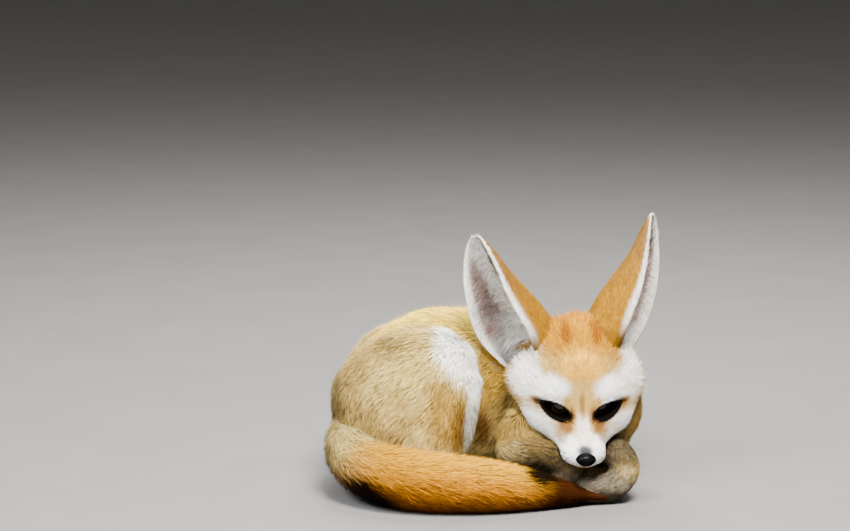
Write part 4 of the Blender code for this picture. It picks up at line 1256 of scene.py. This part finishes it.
def grow_brush(name, look, seed, count, longest, stray, width):
    """The long hair of the tail: it leaves the core and lies back along it at the full reach."""
    draw = np.random.default_rng(seed)
    path = smooth_rows(TAIL, 24)
    last = len(path) - 1
    step = np.linalg.norm(np.diff(path[:, :3], axis=0), axis=1).mean() * CM
    row = draw.uniform(-0.05, 0.985, count) * last
    turn = draw.uniform(0, math.tau, count)
    length = draw.uniform(0.45, 1.0, count) * longest * MM
    length *= mixed(1.0, 0.75, eased(row / last, 0.8, 1.0))

    def place(rows, angle, height):
        held = np.clip(rows, 0, last - 0.001)
        low = held.astype(int)
        here = blended(path[low], path[low + 1], held - low)
        ahead = unit(path[low + 1, :3] - path[low, :3])
        side = unit(np.cross(ahead, [0, 0, 1]))
        out = side * np.cos(angle)[:, None] + np.cross(side, ahead) * np.sin(angle)[:, None]
        past = (rows - held)[:, None] * step
        return here[:, :3] * CM + out * (here[:, 3] * height)[:, None] * CM + ahead * past, out

    roots, outs = place(row, turn, np.full(count, BRUSH_CORE - 0.05))
    end = turn + draw.normal(0, stray, count)
    tips, _ = place(row + length / step, end, draw.uniform(0.84, 1.08, count))
    halfway = draw.uniform(0.84, 0.96, count)
    middle, _ = place(row + 0.5 * length / step, (turn + end) / 2, halfway)
    tips, leader = clumped(roots, tips, 18, 0.14, draw)
    share = (row + 0.7 * length / step) / last
    base = tail_colours(share, outs, mixed(roots, tips, 0.7) / CM, draw)
    light = 0.22 * draw.normal(0, 1, count) + 0.06 * draw.normal(0, 1, count)[leader]
    tip_looks = toned(base, light)
    widths = draw.uniform(0.7, 1.3, count) * width * MM
    widths *= mixed(1.0, 0.8, eased(row / last, 0.6, 1.0))
    tree = tree_of(SKIN["points"])
    nearest = np.array([tree.find(root)[1] for root in roots])
    tufts = {
        "roots": roots,
        "outs": outs,
        "tips": tips,
        "rises": np.maximum(((middle - mixed(roots, tips, 0.5)) * outs).sum(1), 0) * 2.6,
        "halves": widths / 2,
        "root_looks": tip_looks * BARE_SHADE,
        "tip_looks": tip_looks,
        "uvs": SKIN["point_uvs"][nearest],
    }
    pieces_of(name, LONG_TUFT, tufts, 0.45, look)


def add_node(tree, kind, settings=None, links=None):
    """Adds a node with its settings, given by attribute or socket, and its incoming links."""
    node = tree.nodes.new(kind)
    for key, value in (settings or {}).items():
        if isinstance(key, str) and hasattr(node, key):
            setattr(node, key, value)
        else:
            node.inputs[key].default_value = value
    for key, source in (links or {}).items():
        tree.links.new(source, node.inputs[key])
    return node


def new_look(name, settings):
    """A material with one Principled shader: the material, its tree and its shader."""
    look = bpy.data.materials.new(name)
    look.use_nodes = True
    shader = look.node_tree.nodes["Principled BSDF"]
    for key, value in settings.items():
        shader.inputs[key].default_value = value
    return look, look.node_tree, shader


def fur_look(name, settings, streak):
    """Hair: light scatters along it, so it is matt with a faint sheen. Its markings, and the shade
    painted among them, come from the colour of each tuft, and a fine streaking varies them within a
    lock."""
    look, tree, shader = new_look(name, settings)
    colour = add_node(tree, "ShaderNodeVertexColor", {"layer_name": COAT_COLOUR_LAYER})
    place = add_node(tree, "ShaderNodeTexCoord")
    # Locks are about 3 mm apart, so the patches between them are drawn at that size.
    size = {"Scale": 1 / (3 * MM), "Detail": 3.0}
    patches = add_node(tree, "ShaderNodeTexNoise", size, {"Vector": place.outputs["Object"]})
    span = {"From Min": 0.3, "From Max": 0.7, "To Min": 1 - streak, "To Max": 1 + streak}
    level = add_node(tree, "ShaderNodeMapRange", span, {"Value": patches.outputs["Fac"]})
    shaded = add_node(
        tree,
        "ShaderNodeMix",
        {"data_type": "RGBA", "blend_type": "MULTIPLY", 0: 1.0},
        {6: colour.outputs["Color"], 7: level.outputs["Result"]},
    )
    tree.links.new(shaded.outputs[2], shader.inputs["Base Color"])
    return look


def skin_look():
    """The skin and the undercoat that grows on it: matt, with short hair drawn by its bump."""
    look = fur_look("undercoat on skin", {"Roughness": 0.9, "Specular IOR Level": 0.0}, 0.12)
    tree = look.node_tree
    place = add_node(tree, "ShaderNodeTexCoord")
    # Single hairs are 0.03 mm wide. They are drawn many times as coarse, so that they show.
    size = {"Scale": 1 / (0.5 * MM), "Detail": 4.0}
    hairs = add_node(tree, "ShaderNodeTexNoise", size, {"Vector": place.outputs["Object"]})
    depth = {"Strength": 0.5, "Distance": 0.3 * MM}
    bump = add_node(tree, "ShaderNodeBump", depth, {"Height": hairs.outputs["Fac"]})
    tree.links.new(bump.outputs["Normal"], tree.nodes["Principled BSDF"].inputs["Normal"])
    return look


def eye_look():
    """A wet eye: a nearly black brown iris round a black pupil, under a clear glossy cornea."""
    wet = {"Coat Weight": 0.7, "Coat Roughness": 0.02, "Coat IOR": 1.36}
    look, tree, shader = new_look("wet cornea over dark iris", {"Roughness": 0.3, "IOR": 1.33, **wet})
    sight = add_node(tree, "ShaderNodeAttribute", {"attribute_name": "sight"})
    ramp = add_node(tree, "ShaderNodeValToRGB", None, {"Fac": sight.outputs["Fac"]})
    band = ramp.color_ramp
    for k, (where, code) in enumerate(IRIS):
        stop = band.elements[k] if k < 2 else band.elements.new(where)
        stop.position = where
        stop.color = (*srgb(code), 1)
    tree.links.new(ramp.outputs["Color"], shader.inputs["Base Color"])
    return look


def mottled(name, settings, kind, texture, output, dark, pale):
    """A material whose colour runs between two by a texture on the piece's own coordinates."""
    look, tree, shader = new_look(name, settings)
    place = add_node(tree, "ShaderNodeTexCoord")
    pattern = add_node(tree, kind, texture, {"Vector": place.outputs["Object"]}).outputs[output]
    tone = add_node(tree, "ShaderNodeValToRGB", None, {"Fac": pattern})
    for element, code in zip(tone.color_ramp.elements, (dark, pale)):
        element.color = (*srgb(code), 1)
    tree.links.new(tone.outputs["Color"], shader.inputs["Base Color"])
    return look, tree, shader, pattern


def nose_look():
    """Bare wet skin of the nose: nearly black, cobbled in cells about half a millimetre wide."""
    wet = {"Roughness": 0.5, "Specular IOR Level": 0.02, "Coat Weight": 0.04, "Coat Roughness": 0.2}
    size = {"feature": "F1", "Scale": 1 / (0.55 * MM)}
    look, tree, shader, cells = mottled(
        "wet nose skin", wet, "ShaderNodeTexVoronoi", size, "Distance", "090808", "020202"
    )
    depth = {"Strength": 0.6, "Distance": 0.12 * MM, "invert": True}
    bump = add_node(tree, "ShaderNodeBump", depth, {"Height": cells})
    tree.links.new(bump.outputs["Normal"], shader.inputs["Normal"])
    return look


def horn_look():
    """Claws of grown keratin: dark horn, smooth and faintly streaked along."""
    streaks = {"Scale": 1 / (1.2 * MM), "Detail": 2.0}
    gloss = {"Roughness": 0.4}
    return mottled("claw horn", gloss, "ShaderNodeTexNoise", streaks, "Fac", "2A221B", "5B4C3D")[0]


def floor_look():
    """Plain pale plaster, cast and rubbed smooth: a soft mottle and no gloss."""
    cloud = {"Scale": 1 / (60 * MM), "Detail": 6.0}
    matt = {"Roughness": 0.8, "Specular IOR Level": 0.3}
    name = "pale plaster floor"
    return mottled(name, matt, "ShaderNodeTexNoise", cloud, "Fac", "62605D", "6B6965")[0]


def stand(made, look):
    """Gives a piece its look and its place on the body."""
    made.data.materials.clear()
    made.data.materials.append(look)
    made.data.shade_smooth()
    return carried(made)


def add_eye(side, look):
    """An eyeball whose cornea bulges, with how far each point is from the line of sight."""
    bm = ball(EYE_RADIUS - 0.01, 72, 48)
    layer = bm.verts.layers.float.new("sight")
    for vertex in bm.verts:
        angle = vertex.co.angle(UP)
        vertex[layer] = angle / math.pi * 2
        vertex.co *= 1 + CORNEA_BULGE * math.exp(-((angle / CORNEA_REACH) ** 4))
    bmesh.ops.rotate(bm, verts=bm.verts, matrix=Matrix.Rotation(math.pi / 2, 3, "X"))
    bmesh.ops.transform(bm, matrix=HEAD @ eye_frame(side), verts=bm.verts)
    name = "left" if side == 1 else "right"
    made = stand(object_of(f"eyeball_{name}", bm, FOX), look)
    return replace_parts(made, f"eye_{name}")


def add_nose(look):
    """The nose pad: narrower below, with the groove down its front and two nostrils."""
    bm = ball(1, 64, 44)
    for vertex in bm.verts:
        x, y, z = vertex.co / CM
        narrow = 1 - 0.28 * max(0, -z)
        groove = 0.10 * math.exp(-((x / 0.09) ** 2)) * (1 if z < 0.25 else 0.3)
        place = Vector((x * NOSE_SIZE.x * narrow, (y + groove) * NOSE_SIZE.y, z * NOSE_SIZE.z))
        vertex.co = (place + NOSE_TIP) * CM
    pad = object_of("nose", bm, FOX)
    half_x, half_y, half_z = NOSTRIL_SIZE
    for side in (1, -1):
        hole = ball(1, 24, 16)
        turn = Euler((0, side * math.radians(-35), side * math.radians(30))).to_matrix()
        for vertex in hole.verts:
            x, y, z = vertex.co / CM
            place = turn @ Vector((x * half_x, y * half_y, z * half_z))
            vertex.co = (place + NOSE_TIP + Vector((side * 0.33, -0.40, 0.02))) * CM
        combine(pad, object_of("nostril", hole, FOX), "DIFFERENCE")
    pad.data.transform(HEAD)
    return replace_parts(stand(pad, look), "nose_pad")


def add_whiskers(look):
    """Stiff tapered bristles, each a closed spike with nine sections."""
    draw = np.random.default_rng(5)
    sections = 9
    along = np.linspace(0, 1, sections + 1)[:, None]
    paths = []
    for root, way, length, droop in WHISKERS:
        for side in (1, -1):
            start = np.array(root) * [side, 1, 1]
            way_here = unit(np.array(way) * [side, 1, 1] + draw.normal(0, 0.05, 3))
            fall = np.array([0.0, 0.25, -1.0]) * droop * along**2
            # Those on the animal's left show shorter.
            reach = length * draw.uniform(0.9, 1.1) * (0.68 if side == 1 else 1)
            paths.append(start + way_here * (along * reach - WHISKER_SUNK) + fall)
    matrix = np.array(HEAD)
    paths = np.array(paths) * CM @ matrix[:3, :3].T + matrix[:3, 3]
    count = len(paths)
    outs = np.tile(matrix[:3, 2], (count, 1))
    halves = WHISKER_HALF * np.linspace(1, 0.25, sections)[None] * np.ones((count, 1))
    colours = np.tile(srgb(WHISKER_LOOK), (count, sections + 1, 1))
    uvs = np.full((count, 2), 0.5)
    made = tuft_mesh("whiskers", paths, outs, halves, colours, uvs, 0.8)
    made.data.materials.append(look)
    carried(made)


def add_claws(look):
    """Four claws to a foot, each a bent horn that thins out to its point."""
    shapes = []
    for place, way, across in CLAWS:
        way = Vector(way).normalized()
        for k in range(4):
            root = Vector(place) + Vector(across) * (k - 1.5) * TOE_SPACING - way * 0.25
            rows = []
            for share, thick in CLAW_TAPER:
                centre = root + way * CLAW_LENGTH * share + UP * -0.12 * share**2
                rows.append((*centre, *(thick * CLAW_HALF,) * 3))
            shapes.append(sweep(rows, 10, 2))
    stand(object_of("claws", gathered(shapes), FOX), look)


HEAD = head_to_world()
FOX = collection("fennec fox")
eye_low, eye_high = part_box("eye_left")
OFFSET = (eye_low + eye_high) / 2 - (HEAD @ eye_frame(1)).translation
FLESH = ("torso", "neck", "hindleg_right", "hindleg_left", "foreleg_right", "foreleg_left")
REGIONS = (*FLESH, "head", "tail", *EAR_SIDES)
SHAPES = {name: loose_copy(name) for name in FLESH}
SHAPES["head"] = face_formed(sweep(SKULL, 64, 6))
bmesh.ops.transform(SHAPES["head"], matrix=HEAD, verts=SHAPES["head"].verts)
SHAPES["tail"] = sweep([(x, y, z, *(reach * BRUSH_CORE,) * 3) for x, y, z, reach in TAIL], 24, 5)
for name, side in EAR_SIDES.items():
    SHAPES[name] = ear_shell(side)
for shape in SHAPES.values():
    bmesh.ops.recalc_face_normals(shape, faces=shape.faces)
    shape.normal_update()
TREES = {name: BVHTree.FromBMesh(shape) for name, shape in SHAPES.items()}

# The skin, with what the coat needs at each of its points.
fox_skin = build_skin(FOX)
unwrapped(fox_skin)
mesh = fox_skin.data
mesh.calc_loop_triangles()
points = read(mesh.vertices, "co", 3)
normals = read(mesh.vertex_normals, "vector", 3)
flat = points / CM
in_head = seen_from(HEAD, points)
region_at, region_shares = shares_of(mesh, points, 6)
off_head = 1 - region_shares["head"]
layout = read(mesh.uv_layers[LAYOUT].data, "uv", 2)
point_uvs = np.zeros((len(points), 2))
point_uvs[read(mesh.loops, "vertex_index", 1, np.int32)[:, 0]] = layout
mottle = 0.09 * wavering(points, 0.35, 5.0) + 0.07 * wavering(points, 1.1, 9.0)
colours = looks_at(points, normals, region_shares, region_at) * (1 + off_head * mottle)[:, None]
colours = np.clip(colours, 0, PALEST)
# Dark tips are most frequent on the back, on the rump and where the coat parts over the flank.
upper = eased(flat[:, 2], 6.0, 9.0) * off_head
rump = 1 - eased(flat[:, 0], -9.0, -5.5)
parted = nearness(flat, (-6.0, -3.2, 10.0), (1.6, 2.0, 0.6))
SKIN = {
    "points": points,
    "normals": normals,
    "triangles": read(mesh.loop_triangles, "vertices", 3, np.int32),
    "corner_uvs": layout[read(mesh.loop_triangles, "loops", 3, np.int32)],
    "point_uvs": point_uvs,
    "lie": lie_at(mesh, points, normals, region_shares, region_at),
    "colours": colours,
    "ticking": (0.02 + off_head * (0.06 + 0.06 * upper + 0.14 * rump + 0.75 * parted))[:, None],
}
paint(mesh, colours * BARE_SHADE)
stand(fox_skin, skin_look())
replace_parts(fox_skin, *FLESH, "head", *EAR_SIDES, "tail_base", "tail_middle", "tail_tip")

# Nothing grows on the rims of the eyes, the nose, or what stands on the floor.
clear = np.ones(len(points))
for side in (1, -1):
    clear *= (almond_measure(side, points) > 1.42).astype(float)
nose_reach = (in_head - NOSE_TIP) / (NOSE_SIZE * 1.12)
clear *= (np.linalg.norm(nose_reach, axis=1) > 1).astype(float)
clear *= (points[:, 2] > 0.5 * MM).astype(float)

# Places where the coat is longer and stands higher, by so many millimetres: where it hangs over
# the root of the tail, along the lower edge of the cheeks, in the fold over the forelegs, and
# from the chest down to the floor behind the left foreleg.
over_tail = (1 - eased(flat[:, 0], -6.5, -2.5)) * np.exp(-(((flat[:, 2] - 4.6) / 1.3) ** 2))
cheek = eased(np.abs(in_head[:, 0]), 1.9, 2.8) * (1 - eased(in_head[:, 2], -1.6, -0.6))
longer_at = (
    (over_tail * (flat[:, 1] < 2), 9, 1.2),
    (cheek * region_shares["head"], 5, 1.0),
    (nearness(flat, (2.4, -3.6, 4.6), (2.2, 2.0, 1.1)) * off_head, 6, 1.5),
    (nearness(flat, (7.0, -1.2, 1.9), (2.6, 1.8, 1.6)) * off_head, 10, 3.0),
)
sizes = coat_at(points, region_shares)[:, 1:]
sizes[:, 0] *= 1 + 0.12 * wavering(points, 1.2, 3.0)
for share, longer, higher in longer_at:
    sizes[:, 0] += longer * share
    sizes[:, 2] += higher * share
# In the open root of an ear it is too short to reach through the wall.
for side in (1, -1):
    sizes[:, [0, 2]] *= 1 - 0.78 * in_cup(side, points)[:, None]
# The far side and the belly have fewer and wider tufts.
shown = eased(normals @ np.array([0, -0.94, 0.34]), -0.35, 0.15)
sizes[:, 3] *= 0.35 + 0.65 * shown
sizes[:, 1] *= 1.35 - 0.35 * shown

warm = {"Specular Tint": (*srgb("FFD080"), 1)}
hair = fur_look("guard hair", {"Roughness": 0.65, "Specular IOR Level": 0.10, **warm}, 0.06)
ear_hair = fur_look("short ear hair", {"Roughness": 0.75, "Specular IOR Level": 0.12, **warm}, 0.05)
tail_hair = fur_look("long brush hair", {"Roughness": 0.62, "Specular IOR Level": 0.05, **warm}, 0.06)
bristle = fur_look("whisker bristle", {"Roughness": 0.6, "Specular IOR Level": 0.05}, 0.02)

# The coat, region by region: its piece, its regions, its seed and what sets it apart.
front = in_head[:, 1] + 0.25 * in_head[:, 2] < 0.6
fine = {"sections": SHORT_TUFT, "stray": 0.14, "one_in": 30, "clump": 0.25, "tone": 0.12}
coats = (
    ("coat_torso", ("torso",), 41, {}),
    ("coat_neck", ("neck",), 42, {}),
    ("coat_hind_right", ("hindleg_right",), 43, {}),
    ("coat_hind_left", ("hindleg_left",), 44, {}),
    ("coat_forelegs", ("foreleg_right", "foreleg_left"), 45, {"one_in": 20, "clump": 0.35}),
    ("coat_face", ("head",), 46, {"where": front, "root": 0.62, "blend": 0.5, **fine}),
    ("coat_skull", ("head",), 47, {"where": ~front, "clump": 0.4, "tone": 0.2}),
)
for name, names, seed, ways in coats:
    grow(name, names, sizes, hair, "coat", seed, **ways)
# A few longer hairs stand loose over all of it but the face.
loose = sizes * [1.15, 0.5, 1.9, 0.11]
grow("coat_loose", (*FLESH, "head"), loose, hair, "coat", 48, ~front, SHORT_TUFT, 0.45, clump=0.0)
grow_brush("brush", tail_hair, 31, 31000, 24, 0.3, 0.66)
grow_brush("brush_fluff", tail_hair, 32, 14000, 15, 0.4, 0.5)

for ear, first_seed in (("ear_left", 51), ("ear_right", 61)):
    height, turn, inside = ear_places(EAR_SIDES[ear], points, normals)
    rim = np.abs(turn) > EAR_RIM_STARTS
    grown_on = {"back": ~inside & ~rim, "rim": rim, "cup": inside & ~rim}
    # The hair across the cup is long low down, and short over its outer side, at its tip, and at
    # the foot of its inner side, where the wall is too thin to hide it.
    drawn = 1 - 0.7 * eased(turn, 0.35, 0.55) * eased(height, 0.16, 0.36)
    drawn *= mixed(1.0, 0.35, eased(height, 0.7, 0.98))
    drawn *= 1 - 0.72 * (1 - eased(turn, 0.0, 0.3)) * (1 - eased(height, 0.14, 0.30))
    for seed, (kind, (numbers, sections, clump, tone)) in enumerate(EAR_HAIR.items(), first_seed):
        here = np.tile(np.array(numbers, float), (len(points), 1))
        here[:, 0] *= 1 - 0.45 * eased(height, 0.86, 0.98)
        if kind == "cup":
            here[:, [0, 2]] *= drawn[:, None]
        grow(f"{ear}_{kind}", (ear,), here, ear_hair, "ear_coat", seed, grown_on[kind], sections,
             one_in=16, clump=clump, tone=tone, root=0.72)

iris = eye_look()
for side in (1, -1):
    add_eye(side, iris)
add_nose(nose_look())
add_whiskers(bristle)
add_claws(horn_look())
# Every finished piece moves from the design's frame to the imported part's.
for piece in FOX.objects:
    piece.data.transform(Matrix.Translation(OFFSET))

# The floor, the light and the camera.
ground = bmesh.new()
bmesh.ops.create_grid(ground, x_segments=8, y_segments=8, size=6)
floor = object_of("floor", ground, FOX)
floor.data.materials.append(floor_look())

scene = bpy.context.scene
scene.world = bpy.data.worlds.new("studio")
scene.world.use_nodes = True
backing = scene.world.node_tree.nodes["Background"]
backing.inputs["Color"].default_value = (*srgb(SKY[0]), 1)
backing.inputs["Strength"].default_value = SKY[1]
for name, (place, size, power, tint) in SOFTBOXES.items():
    box = bpy.data.lights.new(name, "AREA")
    box.size = size
    box.energy = power
    box.color = tuple(srgb(tint))
    lamp = bpy.data.objects.new(name, box)
    scene.collection.objects.link(lamp)
    lamp.location = place
    lamp.rotation_euler = (LIT_PLACE - Vector(place)).to_track_quat("-Z", "Y").to_euler()

back = Vector((0, -math.cos(ELEVATION), math.sin(ELEVATION)))
above = Vector((0, math.sin(ELEVATION), math.cos(ELEVATION)))
right_of_anchor = (ANCHOR_PIXEL[0] - IMAGE_WIDTH / 2) * PIXEL
over_anchor = (ANCHOR_PIXEL[1] - IMAGE_HEIGHT / 2) * PIXEL
centre = ANCHOR_PLACE + OFFSET - Vector((1, 0, 0)) * right_of_anchor + above * over_anchor
lens = bpy.data.cameras.new("camera")
lens.sensor_width = SENSOR
lens.lens = SENSOR / (IMAGE_WIDTH * PIXEL / DISTANCE)
camera = bpy.data.objects.new("camera", lens)
scene.collection.objects.link(camera)
camera.location = centre + back * DISTANCE
camera.rotation_euler = (-back).to_track_quat("-Z", "Y").to_euler()
scene.camera = camera
